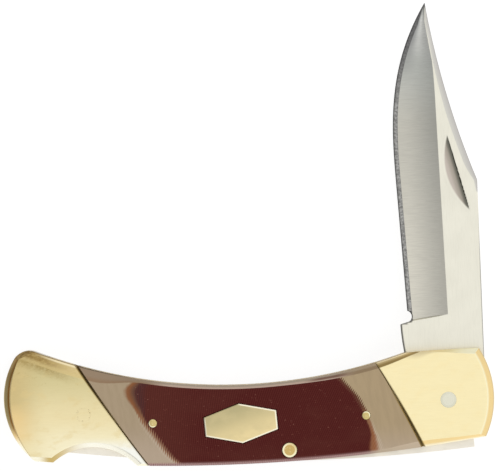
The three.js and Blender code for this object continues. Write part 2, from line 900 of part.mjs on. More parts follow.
function addBackSpring() {
  const pocketX = turned(tip, shutAngle).x - tipPocketClearance;
  const blockFaceX = buttX + blockFaceFromButt;
  const buttBottom = crossing(arcs.butt, arcs.back, cornerHints.beak);
  const heelTop = crossing(arcs.belly, arcs.heel, cornerHints.heel);
  const heelBottom = crossing(arcs.heel, arcs.butt, cornerHints.butt);
  const pocketTop = bellyPoint(pocketX);
  const underTail = (x) => {
    const p = toRestBar(backPoint(x, tailThickness), springPressTurn);
    return point(p.x, p.y + springBarClearance);
  };
  const top = [];
  const steps = 18;
  const firstU = -fingerTipX + fingerTipRadius;
  const lastU = bladeReach - tipPocketClearance;
  for (let i = 0; i <= steps; i += 1) top.push(shutEdge(firstU + ((lastU - firstU) * i) / steps));
  const seat = toRestBar(backPoint(fingerTipX, springSeatThickness));
  const tipCentre = point(fingerTipX, seat.y + fingerTipRadius + lugRideClearance);
  const round = [];
  const roundSteps = 8;
  for (let i = 0; i <= roundSteps; i += 1) {
    const angle = tipRoundFrom + ((tipRoundTo - tipRoundFrom) * i) / roundSteps;
    round.push(turned(point(fingerTipRadius, 0), angle).add(tipCentre));
  }
  const rootX = buttX + fingerRootFromButt;
  const under = top
    .filter((p) => p.x > rootX && p.x < fingerTipX - 2 * fingerTipRadius)
    .map((p) => point(p.x, p.y - fingerThickness))
    .toReversed();
  const rootStart = underTail(under[0].x - fingerThickness * 2);
  const rootCorner = point(under[0].x - fingerThickness, under[0].y);
  const fillet = new THREE.QuadraticBezierCurve(rootStart, rootCorner, under[0]);
  const outline = [
    ...arcPoints(arcs.heel, heelTop, heelBottom, 5),
    ...arcPoints(arcs.butt, heelBottom, buttBottom, 13),
    ...arcPoints(arcs.back, buttBottom, backPoint(blockFaceX), 2),
    backPoint(blockFaceX),
    point(blockFaceX, underTail(barTailX).y),
    underTail(barTailX),
    ...fillet.getPoints(6),
    ...under.slice(1),
    ...round,
    ...top,
    point(pocketX, top.at(-1).y),
    ...arcPoints(arcs.belly, pocketTop, heelTop, 3),
  ];
  const spring = prism(outline, levelWellFloor, levelWellRoof)
    .subtract(drill(buttPin, buttPinRadius, levelWellFloor - cutPast, levelWellRoof + cutPast))
    .subtract(drill(springPin, springPinRadius, levelWellFloor - cutPast, levelWellRoof + cutPast, 24));
  addPiece('back_spring', spring, springSteel);
}

addSide(false);
addLiner('liner_lower', levelScaleInner, levelWellFloor);
addBackSpring();
addLockBar();
addBlade();
addLiner('liner_upper', levelWellRoof, levelUpperScale);
addSide(true);
addShield();
addPin('pivot_pin', pivot, pivotRadius, 0, levelTop, steel);
addPin('lock_bar_pin', lockPin, lockPinRadius, 0, levelTop, pinBrass);
addPin('butt_pin', buttPin, buttPinRadius, 0, levelTop, brass);
addPin('spring_pin', springPin, springPinRadius, levelScaleInner, levelUpperScale, steel, 24);
Object.entries(scalePins).forEach(([place, centre]) => {
  addPin(`scale_pin_lower_${place}`, centre, scalePinRadius, 0, levelWellFloor, pinBrass, 24);
  addPin(`scale_pin_upper_${place}`, centre, scalePinRadius, levelWellRoof, levelTop, pinBrass, 24);
});

export default knife;
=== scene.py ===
"""Folding pocket knife with a rear lock, lying on its side with the blade half open.

The frame's pieces are replaced by finely worked surfaces: bolsters, scales and liners as stacks of
rings round the handle's outline, the blade as one lofted grid, and pins turned on a lathe. Lengths
are in millimetres in this script and become metres where a mesh is made.
"""

import math

import bpy
import numpy as np
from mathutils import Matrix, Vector, geometry


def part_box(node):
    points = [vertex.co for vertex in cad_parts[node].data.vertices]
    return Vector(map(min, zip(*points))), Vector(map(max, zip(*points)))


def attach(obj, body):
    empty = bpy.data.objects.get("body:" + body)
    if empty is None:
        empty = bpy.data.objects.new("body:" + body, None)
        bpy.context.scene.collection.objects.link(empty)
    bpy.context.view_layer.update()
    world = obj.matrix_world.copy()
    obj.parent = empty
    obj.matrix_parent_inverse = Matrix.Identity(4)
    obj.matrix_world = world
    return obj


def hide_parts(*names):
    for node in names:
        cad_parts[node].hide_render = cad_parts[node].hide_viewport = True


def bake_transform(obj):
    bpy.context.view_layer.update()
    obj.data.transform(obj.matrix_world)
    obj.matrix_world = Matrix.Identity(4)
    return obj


bl_info = {
    "name": "Folding pocket knife",
    "version": (1, 0, 0),
    "blender": (4, 5, 0),
    "location": "View3D > Sidebar > Knife",
    "description": "Builds a folding pocket knife round its fixed frame",
    "category": "Add Mesh",
}

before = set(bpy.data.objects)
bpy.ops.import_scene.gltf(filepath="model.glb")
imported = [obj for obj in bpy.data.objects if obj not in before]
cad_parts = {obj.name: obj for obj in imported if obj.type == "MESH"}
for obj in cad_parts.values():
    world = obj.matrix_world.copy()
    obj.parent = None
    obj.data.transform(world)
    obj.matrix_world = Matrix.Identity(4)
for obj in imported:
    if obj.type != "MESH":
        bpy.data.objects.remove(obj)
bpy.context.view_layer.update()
MM = 0.001

# The point of the knife that stands in the middle of the photograph, and the level in scale there
PICTURE_CENTRE = (-51.14, 42.31)
PICTURE_LEVEL = 12.5


def frame_levels(node):
    """Lowest and highest level of a node of the frame, in millimetres."""
    low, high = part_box(node)
    return low.z / MM, high.z / MM


# Levels through the thickness, read from the frame
FLOOR = frame_levels("scale_lower")[0]
TOP = frame_levels("scale_upper")[1]
LOWER_LINER = frame_levels("liner_lower")
UPPER_LINER = frame_levels("liner_upper")
BLADE_LEVELS = frame_levels("blade")
MIDDLE = (FLOOR + TOP) / 2
BLADE_HALF = (BLADE_LEVELS[1] - BLADE_LEVELS[0]) / 2


# Handle outline: each arc has a centre, a radius, a side (+1 where the metal lies outside the
# circle), its number of steps and, where it carries a bevel, the bevel's width at x


def even(width):
    """A bevel's width that is the same at every x."""
    return lambda x: width + 0.0 * x


def arc(x, y, radius, side, steps=40, bevel=even(0.0)):
    """One arc of an outline."""
    return {"centre": np.array([x, y]), "radius": radius, "side": side, "steps": steps, "bevel": bevel}


def smoothstep(x, low, high):
    """0 below low, 1 above high, and 3t^2 - 2t^3 between."""
    t = np.clip((x - low) / (high - low), 0, 1)
    return t * t * (3 - 2 * t)


def rise(x, centre, radius):
    """How far a circle stands from the level of its centre at x, the root of r^2 - (x - c)^2."""
    return np.sqrt(np.maximum(radius**2 - (x - centre) ** 2, 0))


def crossing(a, b, hint):
    """The crossing of two circles that is nearer to the hint: along the line of centres by
    (d^2 + ra^2 - rb^2) / 2d, and off it by what is left of ra."""
    across = b["centre"] - a["centre"]
    distance = np.hypot(*across)
    along = (distance**2 + a["radius"] ** 2 - b["radius"] ** 2) / (2 * distance)
    off = math.sqrt(max(0.0, a["radius"] ** 2 - along**2))
    way = across / distance
    normal = np.array([-way[1], way[0]])
    one = a["centre"] + along * way + off * normal
    two = a["centre"] + along * way - off * normal
    return one if np.hypot(*(one - hint)) < np.hypot(*(two - hint)) else two


def circle_through(top, bottom, bow):
    """Centre and radius of the arc through two points whose middle stands off by bow to the +X side:
    the radius is (half the chord squared + bow squared) / 2 bow."""
    half = np.hypot(*(top - bottom)) / 2
    radius = (half**2 + bow**2) / (2 * abs(bow))
    way = (top - bottom) / (2 * half)
    right = np.array([way[1], -way[0]])
    middle = (top + bottom) / 2
    return middle + right * (bow - math.copysign(radius, bow)), radius


FRONT_JOINT_TOP_X, FRONT_JOINT_BOTTOM_X = -18.83, -6.46
REAR_JOINT_TOP_X, REAR_JOINT_BOTTOM_X = -95.76, -77.17
BEVEL_END_X = -8.3
HEEL_BEVEL, SCALE_BEVEL, BACK_BEVEL = 3.0, 0.92, 0.6


def belly_bevel(x):
    """Width of the bevel along the concave front: 3 mm at the heel, 0.92 along the scale, 1.6 at the
    front joint and 1.1 where it runs out into the shoulder, with smooth steps between."""
    heel = (HEEL_BEVEL - SCALE_BEVEL) * (1 - smoothstep(x, -91.0, -79.0))
    front = 0.68 * smoothstep(x, -45.0, FRONT_JOINT_TOP_X)
    return SCALE_BEVEL + heel + front - 0.5 * smoothstep(x, FRONT_JOINT_TOP_X, BEVEL_END_X)


def back_bevel(x):
    """Width of the bevel along the back: 0.6 mm, 1.6 at the front joint and 0.9 at the nose."""
    return (
        BACK_BEVEL
        + smoothstep(x, -20.0, FRONT_JOINT_BOTTOM_X)
        - 0.7 * smoothstep(x, FRONT_JOINT_BOTTOM_X, 10.0)
    )


BELLY = arc(-58.65, 141.66, 138.0, 1, 110, belly_bevel)
BACK = arc(-73.5, 440.4, 457.5, -1, 70, back_bevel)
NOSE = arc(-12.0, 0.22, 23.8, -1, 48, even(1.8))
SHOULDER = arc(18.0, -286.5, 300.0, -1, 30, lambda x: 1.5 * smoothstep(x, BEVEL_END_X, 8.0))
BUTT = arc(-94.2, 0.4, 20.4, -1, 72)
BUTT_INNER = arc(-88.8, 0.4, 24.2, -1)
NOTCH = arc(-91.5, -27.75, 15.5, 1, 56, even(1.2))
HEEL_RADIUS, HEEL_INNER_RADIUS = 4.4, 0.3
BEAK = {**BACK, "bevel": NOTCH["bevel"], "steps": 10}


def butt_at(share, edge):
    """The butt's arc, which turns into the arc of the bevel's inner edge as the share goes to 1."""
    centre = BUTT["centre"] * (1 - share) + BUTT_INNER["centre"] * share
    radius = BUTT["radius"] * (1 - share) + BUTT_INNER["radius"] * share - edge
    return {**BUTT, "centre": centre, "radius": radius}


def heel_at(share, edge):
    """The heel's arc, which touches the concave front and the butt wherever the bevel has got to."""
    radius = HEEL_RADIUS * (1 - share) + HEEL_INNER_RADIUS * share
    front = {**BELLY, "radius": BELLY["radius"] + HEEL_BEVEL * share + edge + radius}
    butt = butt_at(share, edge)
    centre = crossing(front, {**butt, "radius": butt["radius"] - radius}, np.array([-110.0, 12.0]))
    return arc(*centre, radius, -1, 16)


HEEL = heel_at(0.0, 0.0)
HEEL_CENTRE = HEEL["centre"]
JOINT_BOW = 0.3
REAR_GAP, FRONT_GAP = (0.34, 0.15), (0.11, 0.32)

# Each stretch's number on the mesh, from which the finishes tell the bevels apart
NAMES = ("nose", "shoulder", "belly", "heel", "butt", "beak", "notch", "back", "joint", "hole")
STRETCHES = {stretch: number for number, stretch in enumerate(NAMES)}
for stretch, part in zip(NAMES, (NOSE, SHOULDER, BELLY, HEEL, BUTT, BEAK, NOTCH, BACK)):
    part["stretch"] = STRETCHES[stretch]

# Where along its arc the last point of a stretch lies, just short of the corner
LAST_SHARE = 0.9995


def on_arc(of, x):
    """The lower point of a circle at x."""
    return np.array([x, of["centre"][1] - rise(x, of["centre"][0], of["radius"])])


# Each joint's two ends and its bow
REAR_JOINT = (on_arc(BELLY, REAR_JOINT_TOP_X), on_arc(BACK, REAR_JOINT_BOTTOM_X), -JOINT_BOW)
FRONT_JOINT = (on_arc(BELLY, FRONT_JOINT_TOP_X), on_arc(BACK, FRONT_JOINT_BOTTOM_X), JOINT_BOW)


def joint(top, bottom, bow, side, gap, right):
    """A mitred joint as an arc between its ends, each moved along X by its half gap: to the right
    for the piece on the right of the joint, and otherwise to the left."""
    shift = np.array([[gap[0], 0.0], [gap[1], 0.0]]) * (1 if right else -1)
    centre, radius = circle_through(top + shift[0], bottom + shift[1], bow)
    return {**arc(*centre, radius, side, 36), "stretch": STRETCHES["joint"]}


def outline(path, share=0.0, edge=0.0):
    """A closed ring of points along arcs. Each point's radius grows by side x (bevel x share + edge),
    with the bevel's width at that point, and neighbours meet at the crossing nearer to the hint.
    The butt and the heel have an arc of their own for each share instead."""
    moved = []
    for part, _ in path:
        if part["stretch"] == STRETCHES["butt"]:
            part = butt_at(share, edge)
        elif part["stretch"] == STRETCHES["heel"]:
            part = heel_at(share, edge)
        else:
            part = {**part, "radius": part["radius"] + part["side"] * edge}
        moved.append(part)
    corners = []
    for i, (_, hint) in enumerate(path):
        pair = [
            {**part, "radius": part["radius"] + part["side"] * share * part["bevel"](hint[0])}
            for part in (moved[i - 1], moved[i])
        ]
        corners.append(crossing(*pair, np.array(hint)))
    points = []
    for i, part in enumerate(moved):
        start = corners[i] - part["centre"]
        end = corners[(i + 1) % len(path)] - part["centre"]
        a = math.atan2(start[1], start[0])
        sweep = math.remainder(math.atan2(end[1], end[0]) - a, math.tau)
        angles = a + sweep * np.append(np.arange(part["steps"]) / part["steps"], LAST_SHARE)
        ways = np.column_stack([np.cos(angles), np.sin(angles)])
        width = part["bevel"](part["centre"][0] + part["radius"] * ways[:, 0])
        radius = part["radius"] + part["side"] * share * width
        points.append(part["centre"] + radius[:, None] * ways)
    return np.concatenate(points)


# The faces of bolsters and scales at the joints, and the joints' middle lines
REAR_BOLSTER_END = joint(*REAR_JOINT, 1, REAR_GAP, False)
FRONT_BOLSTER_END = joint(*FRONT_JOINT, 1, FRONT_GAP, True)
SCALE_REAR_END = joint(*REAR_JOINT, -1, REAR_GAP, True)
SCALE_FRONT_END = joint(*FRONT_JOINT, -1, FRONT_GAP, False)
REAR_SEAM = joint(*REAR_JOINT, 1, (0.0, 0.0), True)
FRONT_SEAM = joint(*FRONT_JOINT, 1, (0.0, 0.0), True)

# Corner hints, in the order of the outline
AT_NOSE_BOTTOM = (10.0, -9.6)
AT_NOSE_TOP = (8.5, 13.3)
AT_SHOULDER = (BEVEL_END_X, 12.4)
AT_HEEL_TOP = tuple(HEEL_CENTRE + [1.0, HEEL_RADIUS])
AT_HEEL_BUTT = tuple(HEEL_CENTRE - [HEEL_RADIUS, 0.0])
AT_BEAK = (-105.0, -16.6)
AT_NOTCH_LEFT = (-103.0, -16.7)
AT_NOTCH_RIGHT = (-80.0, -17.4)
AT_REAR_TOP, AT_REAR_BOTTOM = (tuple(end) for end in REAR_JOINT[:2])
AT_FRONT_TOP, AT_FRONT_BOTTOM = (tuple(end) for end in FRONT_JOINT[:2])

HANDLE_PATH = [
    (NOSE, AT_NOSE_BOTTOM),
    (SHOULDER, AT_NOSE_TOP),
    (BELLY, AT_SHOULDER),
    (HEEL, AT_HEEL_TOP),
    (BUTT, AT_HEEL_BUTT),
    (BEAK, AT_BEAK),
    (NOTCH, AT_NOTCH_LEFT),
    (BACK, AT_NOTCH_RIGHT),
]
REAR_BOLSTER_PATH = [
    ({**BELLY, "steps": 40}, AT_REAR_TOP),
    (HEEL, AT_HEEL_TOP),
    (BUTT, AT_HEEL_BUTT),
    (BEAK, AT_BEAK),
    (NOTCH, AT_NOTCH_LEFT),
    ({**BACK, "steps": 6}, AT_NOTCH_RIGHT),
    (REAR_BOLSTER_END, AT_REAR_BOTTOM),
]
FRONT_BOLSTER_PATH = [
    (NOSE, AT_NOSE_BOTTOM),
    (SHOULDER, AT_NOSE_TOP),
    ({**BELLY, "steps": 14}, AT_SHOULDER),
    (FRONT_BOLSTER_END, AT_FRONT_TOP),
    ({**BACK, "steps": 24}, AT_FRONT_BOTTOM),
]
SCALE_PATH = [
    (BELLY, AT_FRONT_TOP),
    (SCALE_REAR_END, AT_REAR_TOP),
    ({**BACK, "steps": 240}, AT_REAR_BOTTOM),
    (SCALE_FRONT_END, AT_FRONT_BOTTOM),
]

# Pins and shield
PIVOT = np.array([0.0, 0.0])
LOCK_PIN = np.array([-40.94, -12.98])
BUTT_PIN = np.array([-94.0, -3.9])
SPRING_PIN = np.array([-108.5, -1.5])
SCALE_PINS = {"rear": np.array([-76.2, -6.1]), "front": np.array([-21.2, -4.05])}
PIVOT_RADIUS = 2.05
LOCK_PIN_RADIUS = 1.9
BUTT_PIN_RADIUS = 1.75
SPRING_PIN_RADIUS = 1.25
SCALE_PIN_RADIUS = 1.1
SHIELD_CENTRE = np.array([-53.5, -6.1])
SHIELD_TILT = math.radians(6)
SHIELD_CORNERS = np.array(
    [[-9.5, -2.55], [0, -5.25], [9.5, -2.55], [9.5, 2.55], [0, 5.25], [-9.5, 2.55]]
)
SHIELD_DEPTH = 1.0
BEVEL_DEPTH = 1.3
EDGE_BREAK = 0.06
HOLE_MARGIN = 0.12

# How a bevel gives way round a hole: its rings, the gap to the hole and the gap between them
BEVEL_RINGS, HOLE_GAP, RING_GAP = 8, 0.05, 0.045


def circle(centre, radius, steps=64):
    """A ring of points round a centre."""
    angles = math.tau * np.arange(steps) / steps
    return centre + radius * np.column_stack([np.cos(angles), np.sin(angles)])


def shield_ring(grow, steps=14):
    """The shield's six sides moved out by grow: each corner goes to where its two moved sides meet,
    and each side gets the same number of steps."""
    corners = SHIELD_CORNERS
    sides = np.roll(corners, -1, axis=0) - corners
    out = np.column_stack([sides[:, 1], -sides[:, 0]]) / np.hypot(*sides.T)[:, None]
    before = np.roll(out, 1, axis=0)
    bisector = (out + before) / (1 + np.sum(out * before, axis=1))[:, None]
    moved = corners + grow * bisector
    ahead = np.roll(moved, -1, axis=0)
    t = (np.arange(steps) / steps)[None, :, None]
    ring = (moved[:, None] * (1 - t) + ahead[:, None] * t).reshape(-1, 2)
    cos, sin = math.cos(SHIELD_TILT), math.sin(SHIELD_TILT)
    return ring @ np.array([[cos, sin], [-sin, cos]]) + SHIELD_CENTRE


# Meshes


def new_object(name, points, faces, attributes=None):
    """An object at the origin from points in millimetres and a list of face index arrays. Each
    array's faces have as many corners as it has columns."""
    mesh = bpy.data.meshes.new(name)
    sizes = np.concatenate([np.full(len(f), f.shape[1]) for f in faces if len(f)])
    corners = np.concatenate([f.ravel() for f in faces if len(f)])
    mesh.vertices.add(len(points))
    mesh.vertices.foreach_set("co", (np.asarray(points) * MM).astype(np.float32).ravel())
    mesh.loops.add(len(corners))
    mesh.loops.foreach_set("vertex_index", corners.astype(np.int32))
    mesh.polygons.add(len(sizes))
    starts = np.concatenate([[0], np.cumsum(sizes)[:-1]])
    mesh.polygons.foreach_set("loop_start", starts.astype(np.int32))
    mesh.update(calc_edges=True)
    mesh.validate()
    for key, values in (attributes or {}).items():
        store(mesh, key, values)
    made = bpy.data.objects.new(name, mesh)
    bpy.context.scene.collection.objects.link(made)
    smooth(made)
    return made


def store(mesh, key, values):
    """A number on each of the mesh's points, which the finishes read."""
    attribute = mesh.attributes.new(key, "FLOAT", "POINT")
    attribute.data.foreach_set("value", np.asarray(values, np.float32).ravel())


def smooth(piece, degrees=27):
    """Smooth shading, with edges sharper than the angle kept crisp."""
    piece.data.polygons.foreach_set("use_smooth", [True] * len(piece.data.polygons))
    piece.data.set_sharp_from_angle(angle=math.radians(degrees))


def finish_piece(piece, material, body, node):
    """Material, body, slot and the frame's node that the piece stands for. A piece that bends
    between two bodies rides on none."""
    piece.data.materials.append(material)
    if body:
        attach(piece, body)
    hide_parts(node)


def wall_quads(levels, count, first=0):
    """Quads between neighbouring rings of count points each; the rings close on themselves."""
    ring = np.arange(levels - 1)[:, None] * count
    here = np.arange(count)[None, :]
    after = (here + 1) % count
    quads = np.stack([ring + here, ring + after, ring + count + after, ring + count + here], axis=-1)
    return quads.reshape(-1, 4) + first


def cap_triangles(outer, holes):
    """Triangles of a flat face between an outer ring and hole rings, by constrained Delaunay
    triangulation; those whose middle lies inside a hole are dropped. Indices run over the outer
    ring and then each hole."""
    rings = [outer, *holes]
    points = np.concatenate(rings)
    edges = []
    first = 0
    for ring in rings:
        index = first + np.arange(len(ring))
        edges.append(np.column_stack([index, np.roll(index, -1)]))
        first += len(ring)
    made = geometry.delaunay_2d_cdt(
        [Vector(p) for p in points], np.concatenate(edges).tolist(), [], 1, 1e-7
    )
    source = np.array([ids[0] for ids in made[3]])
    triangles = source[np.array([list(f) for f in made[2]])]
    middles = points[triangles].mean(axis=1)
    keep = np.ones(len(triangles), bool)
    for hole in holes:
        keep &= ~inside(hole, middles)
    triangles = triangles[keep]
    a, b, c = (points[triangles[:, i]] for i in range(3))
    turn = (b[:, 0] - a[:, 0]) * (c[:, 1] - a[:, 1]) - (b[:, 1] - a[:, 1]) * (c[:, 0] - a[:, 0])
    triangles[turn < 0] = triangles[turn < 0][:, ::-1]
    return triangles


def inside(ring, points):
    """Which points lie in a closed ring: an odd number of its sides is crossed going to +X."""
    x, y = points[:, 0][:, None], points[:, 1][:, None]
    x0, y0 = ring[:, 0][None], ring[:, 1][None]
    x1, y1 = np.roll(ring[:, 0], -1)[None], np.roll(ring[:, 1], -1)[None]
    straddles = (y0 > y) != (y1 > y)
    rise = np.where(y1 == y0, 1e-12, y1 - y0)
    return (np.sum(straddles & (x < x0 + (y - y0) * (x1 - x0) / rise), axis=1) % 2).astype(bool)


def lifted(rings, levels):
    """Rings of plane points lifted to their levels."""
    return [np.column_stack([r, np.full(len(r), z)]) for r, z in zip(rings, levels)]


def stack(ring_of, table):
    """A stack of rings from a table, whose rows hold a level and what the ring's function takes."""
    return lifted([ring_of(*how) for _, *how in table], [level for level, *_ in table])


def plate(name, outer, holes=(), flip=False, shade_marks=None):
    """A closed solid. Its outer wall is a stack of rings from low to high, each hole is a stack of
    rings too, and caps close both ends; a hole that ends above the bottom is blind and gets a
    floor. With flip the solid is mirrored about the knife's middle plane. The last argument, when
    given, holds the share of the bevel at each outer ring and the stretch at each of its points,
    from which the finishes paint light and shade and lay coloured bands on the bevels; both are
    stored on the points, and in the holes the share is 1 and the stretch has a number of its own."""
    stacks = [outer, *holes]
    starts = np.concatenate([[0], np.cumsum([len(rings) * len(rings[0]) for rings in stacks])])
    faces = [wall_quads(len(outer), len(outer[0]))]
    bottoms, tops = [(outer[0], 0)], [(outer[-1], len(outer[0]) * (len(outer) - 1))]
    for rings, first in zip(holes, starts[1:]):
        count = len(rings[0])
        faces.append(wall_quads(len(rings), count, first)[:, ::-1])
        if rings[0][0, 2] > outer[0][0, 2]:
            faces.append(first + cap_triangles(rings[0][:, :2], []))
        else:
            bottoms.append((rings[0], first))
        tops.append((rings[-1], first + count * (len(rings) - 1)))
    for ends, order in ((bottoms, -1), (tops, 1)):
        index = np.concatenate([start + np.arange(len(ring)) for ring, start in ends])
        plan = [ring[:, :2] for ring, _ in ends]
        faces.append(index[cap_triangles(plan[0], plan[1:])][:, ::order])
    points = np.concatenate([np.concatenate(rings) for rings in stacks])
    if flip:
        points[:, 2] = 2 * MIDDLE - points[:, 2]
        faces = [f[:, ::-1] for f in faces]
    attributes = {}
    if shade_marks:
        shares, stretches = shade_marks
        rest = len(points) - len(shares) * len(stretches)
        attributes["bevel"] = np.append(np.repeat(shares, len(stretches)), np.ones(rest))
        attributes["stretch"] = np.append(np.tile(stretches, len(shares)), np.full(rest, STRETCHES["hole"]))
    return new_object(name, points, faces, attributes)


def round_hole(centre, radius, low, high, edge, steps=64):
    """A drilled hole with its upper edge broken by a small quarter round, and a ring round that
    which keeps the shading of the face flat."""
    turns = np.linspace(0, math.pi / 2, 4)
    radii = [radius, radius, *(radius + edge * (1 - np.cos(turns))), radius + edge + HOLE_MARGIN]
    levels = [low, high - edge - 0.1, *(high - edge + edge * np.sin(turns)), high]
    return lifted([circle(centre, r, steps) for r in radii], levels)


def shield_recess(low, high):
    """The shield's recess: a blind six-sided pocket with its upper edge just broken."""
    table = [(low, 0.07), (high - 0.12, 0.07), (high - 0.04, 0.09), (high, 0.13), (high, 0.22)]
    return stack(shield_ring, table)


def side_table(low, high):
    """A bolster's or scale's side from its inner face to the flat top, as level, share of the
    bevel's width and further inset: an upright wall, the bevel with both of its edges slightly
    rounded, and a ring just inside the flat that keeps its shading flat."""
    turn = high - BEVEL_DEPTH
    return [
        (low, 0.0, EDGE_BREAK),
        (low + EDGE_BREAK, 0.0, 0.0),
        (low + 0.3, 0.0, 0.0),
        (turn - 0.3, 0.0, 0.0),
        (turn - 0.1, 0.0, 0.0),
        (turn + 0.02, 0.035, 0.0),
        (turn + 0.14, 0.115, 0.0),
        (turn + 0.34, 0.262, 0.0),
        (high - 0.34, 0.738, 0.0),
        (high - 0.14, 0.89, 0.0),
        (high - 0.05, 0.96, 0.015),
        (high - 0.012, 1.0, 0.05),
        (high, 1.03, 0.11),
        (high, 1.03, 0.26),
    ]


def side_wall(path, low, high):
    """The rings of a bolster's or scale's side, and what the finishes need to know of them: the
    share of the bevel at each ring, and the stretch at each of its points."""
    table = side_table(low, high)
    rings = stack(lambda share, edge: outline(path, share, edge), table)
    stretches = [np.full(part["steps"] + 1, part["stretch"]) for part, _ in path]
    return rings, (np.array([share for _, share, _ in table]), np.concatenate(stretches))


def worn_level(points, low, high):
    """Level of the side's surface over plane points near the back: the side's table read at how far
    in they lie from the back's arc."""
    table = np.array(side_table(low, high))
    inset = BACK["radius"] - np.hypot(*(points[:, :2] - BACK["centre"]).T)
    return np.interp(inset, BACK_BEVEL * table[:, 1] + table[:, 2], table[:, 0])


def make_way(rings, centre, radius, low, high):
    """Moves the bevel's rings outward round a hole that cuts into the bevel, each a little further
    than the one inside it, and keeps every moved point on the bevel's surface."""
    for step, ring in enumerate(reversed(rings[-BEVEL_RINGS:])):
        clear = radius + HOLE_GAP + RING_GAP * step
        away = ring[:, :2] - centre
        distance = np.hypot(*away.T)
        near = distance < clear
        ring[near, :2] = centre + away[near] * (clear / distance[near])[:, None]
        ring[near, 2] = worn_level(ring[near], low, high)


def follow_bevel(points, low, high):
    """Lowers points that stand above the bevel along the back onto it."""
    points[:, 2] = np.minimum(points[:, 2], worn_level(points, low, high) + 1e-4)


def lathe(name, centre, profile, steps=64):
    """A turned solid: each (radius, level) of the profile is carried round the centre, and fans
    close the poles at its two ends."""
    profile = np.array(profile)
    rings = [circle(centre, r, steps) for r in profile[1:-1, 0]]
    points = np.concatenate(lifted(rings, profile[1:-1, 1]))
    count = len(points)
    low = [*centre, profile[0, 1]]
    high = [*centre, profile[-1, 1]]
    here = np.arange(steps)
    after = (here + 1) % steps
    last = count - steps
    fans = [
        np.column_stack([after, here, np.full(steps, count)]),
        np.column_stack([last + here, last + after, np.full(steps, count + 1)]),
    ]
    return new_object(name, np.vstack([points, low, high]), [wall_quads(len(rings), steps), *fans])


def pin_end(radius, level, edge, dome, outward):
    """Half a pin's profile from its rim to its middle: a rounded rim and a shallow dome, which
    rises by dome x (1 - (r / radius)^2)."""
    turns = np.linspace(0, math.pi / 2, 5)
    radii = np.concatenate(
        [radius - edge + edge * np.cos(turns), (radius - edge) * np.array([0.94, 0.8, 0.6, 0.4, 0.2, 0.0])]
    )
    drop = np.concatenate([edge * (1 - np.sin(turns)), np.zeros(6)])
    rise = dome * (1 - (radii / radius) ** 2) - drop
    return [(r, level + outward * h) for r, h in zip(radii, rise)]


def pin(name, centre, radius, low, high, edge, dome=0.0):
    """A pin between two levels, with a rounded rim at both ends and a dome on the upper one."""
    bottom = pin_end(radius, low, edge, 0.0, -1)[::-1]
    return lathe(name, centre, bottom + pin_end(radius, high, edge, dome, 1))


# Blade: u runs from the pivot to the tip and v towards the cutting edge
REST_ANGLE = math.radians(92.3)
OPEN_ANGLE = math.radians(8.3)
SHUT_ANGLE = math.radians(176.3)
SPINE_V = -9.83
TIP = np.array([102.72, 1.9])
CLIP_U = 56.42
CLIP_RADIUS = 222.0
RICASSO = 20.6
EDGE_START, EDGE_SLOPE, EDGE_HALF = 8.47, 0.0472, 0.05
GRIND_V, GRIND_SLOPE, GRIND_TURN_U, GRIND_CURVE = -0.95, 0.0195, 78.0, 0.0027
GRIND_RUN, GRIND_SAG, GRIND_SHOULDER = 1.2, 0.22, 0.4
BELLY_U = 55.92
BELLY_HANDLES = (14.8, 19.7)
BELLY_TIP_ANGLE = math.radians(-32.4)
TANG_RADIUS, FLAT_ONLY_U = 8.81, 4.0
KICK_U, KICK_V, KICK_RADIUS, KICK_FACE = 22.0, 11.52, 60.0, 20.0
CHOIL_U, CHOIL_V, CHOIL_RADIUS = 21.75, 10.0, 1.55
LUG_BACK, LUG_FRONT, LUG_RAISE, NOTCH_WALL = 2.33, 6.97, 4.32, 0.02
NICK_U, NICK_V = 58.45, -5.0
NICK_HALF, NICK_WIDTH, NICK_DEPTH = 10.35, 3.2, 0.62
NICK_BLUNT, NICK_WALL = 0.05, 0.09
NICK_TILT = math.radians(14.5)


def turn(points, angle):
    """Plane points turned about the pivot by an angle, anticlockwise."""
    cos, sin = math.cos(angle), math.sin(angle)
    return np.asarray(points) @ np.array([[cos, sin], [-sin, cos]])


def belly_points():
    """The edge's curved front part: a cubic curve from the straight edge to the tip, with one handle
    along each end's direction."""
    start = np.array([BELLY_U, EDGE_START + EDGE_SLOPE * BELLY_U])
    first = start + BELLY_HANDLES[0] * np.array([1, EDGE_SLOPE]) / math.hypot(1, EDGE_SLOPE)
    second = TIP - BELLY_HANDLES[1] * np.array([math.cos(BELLY_TIP_ANGLE), math.sin(BELLY_TIP_ANGLE)])
    t = np.linspace(0, 1, 400)[:, None]
    return (1 - t) ** 3 * start + 3 * (1 - t) ** 2 * t * first + 3 * (1 - t) * t**2 * second + t**3 * TIP


def flat_arc():
    """The tang's flat, which lies along the lug's seat when the blade is shut, as an arc in u, v."""
    return {"centre": turn(BACK["centre"], -SHUT_ANGLE), "radius": BACK["radius"] - LUG_RAISE}


def notch_corners():
    """The lock notch's two inner corners in u, v."""
    corners = []
    for x in (LUG_BACK, LUG_FRONT):
        on_back = on_arc(BACK, x)
        inward = (BACK["centre"] - on_back) / BACK["radius"]
        corners.append(on_back + LUG_RAISE * inward)
    return turn(corners, -OPEN_ANGLE)


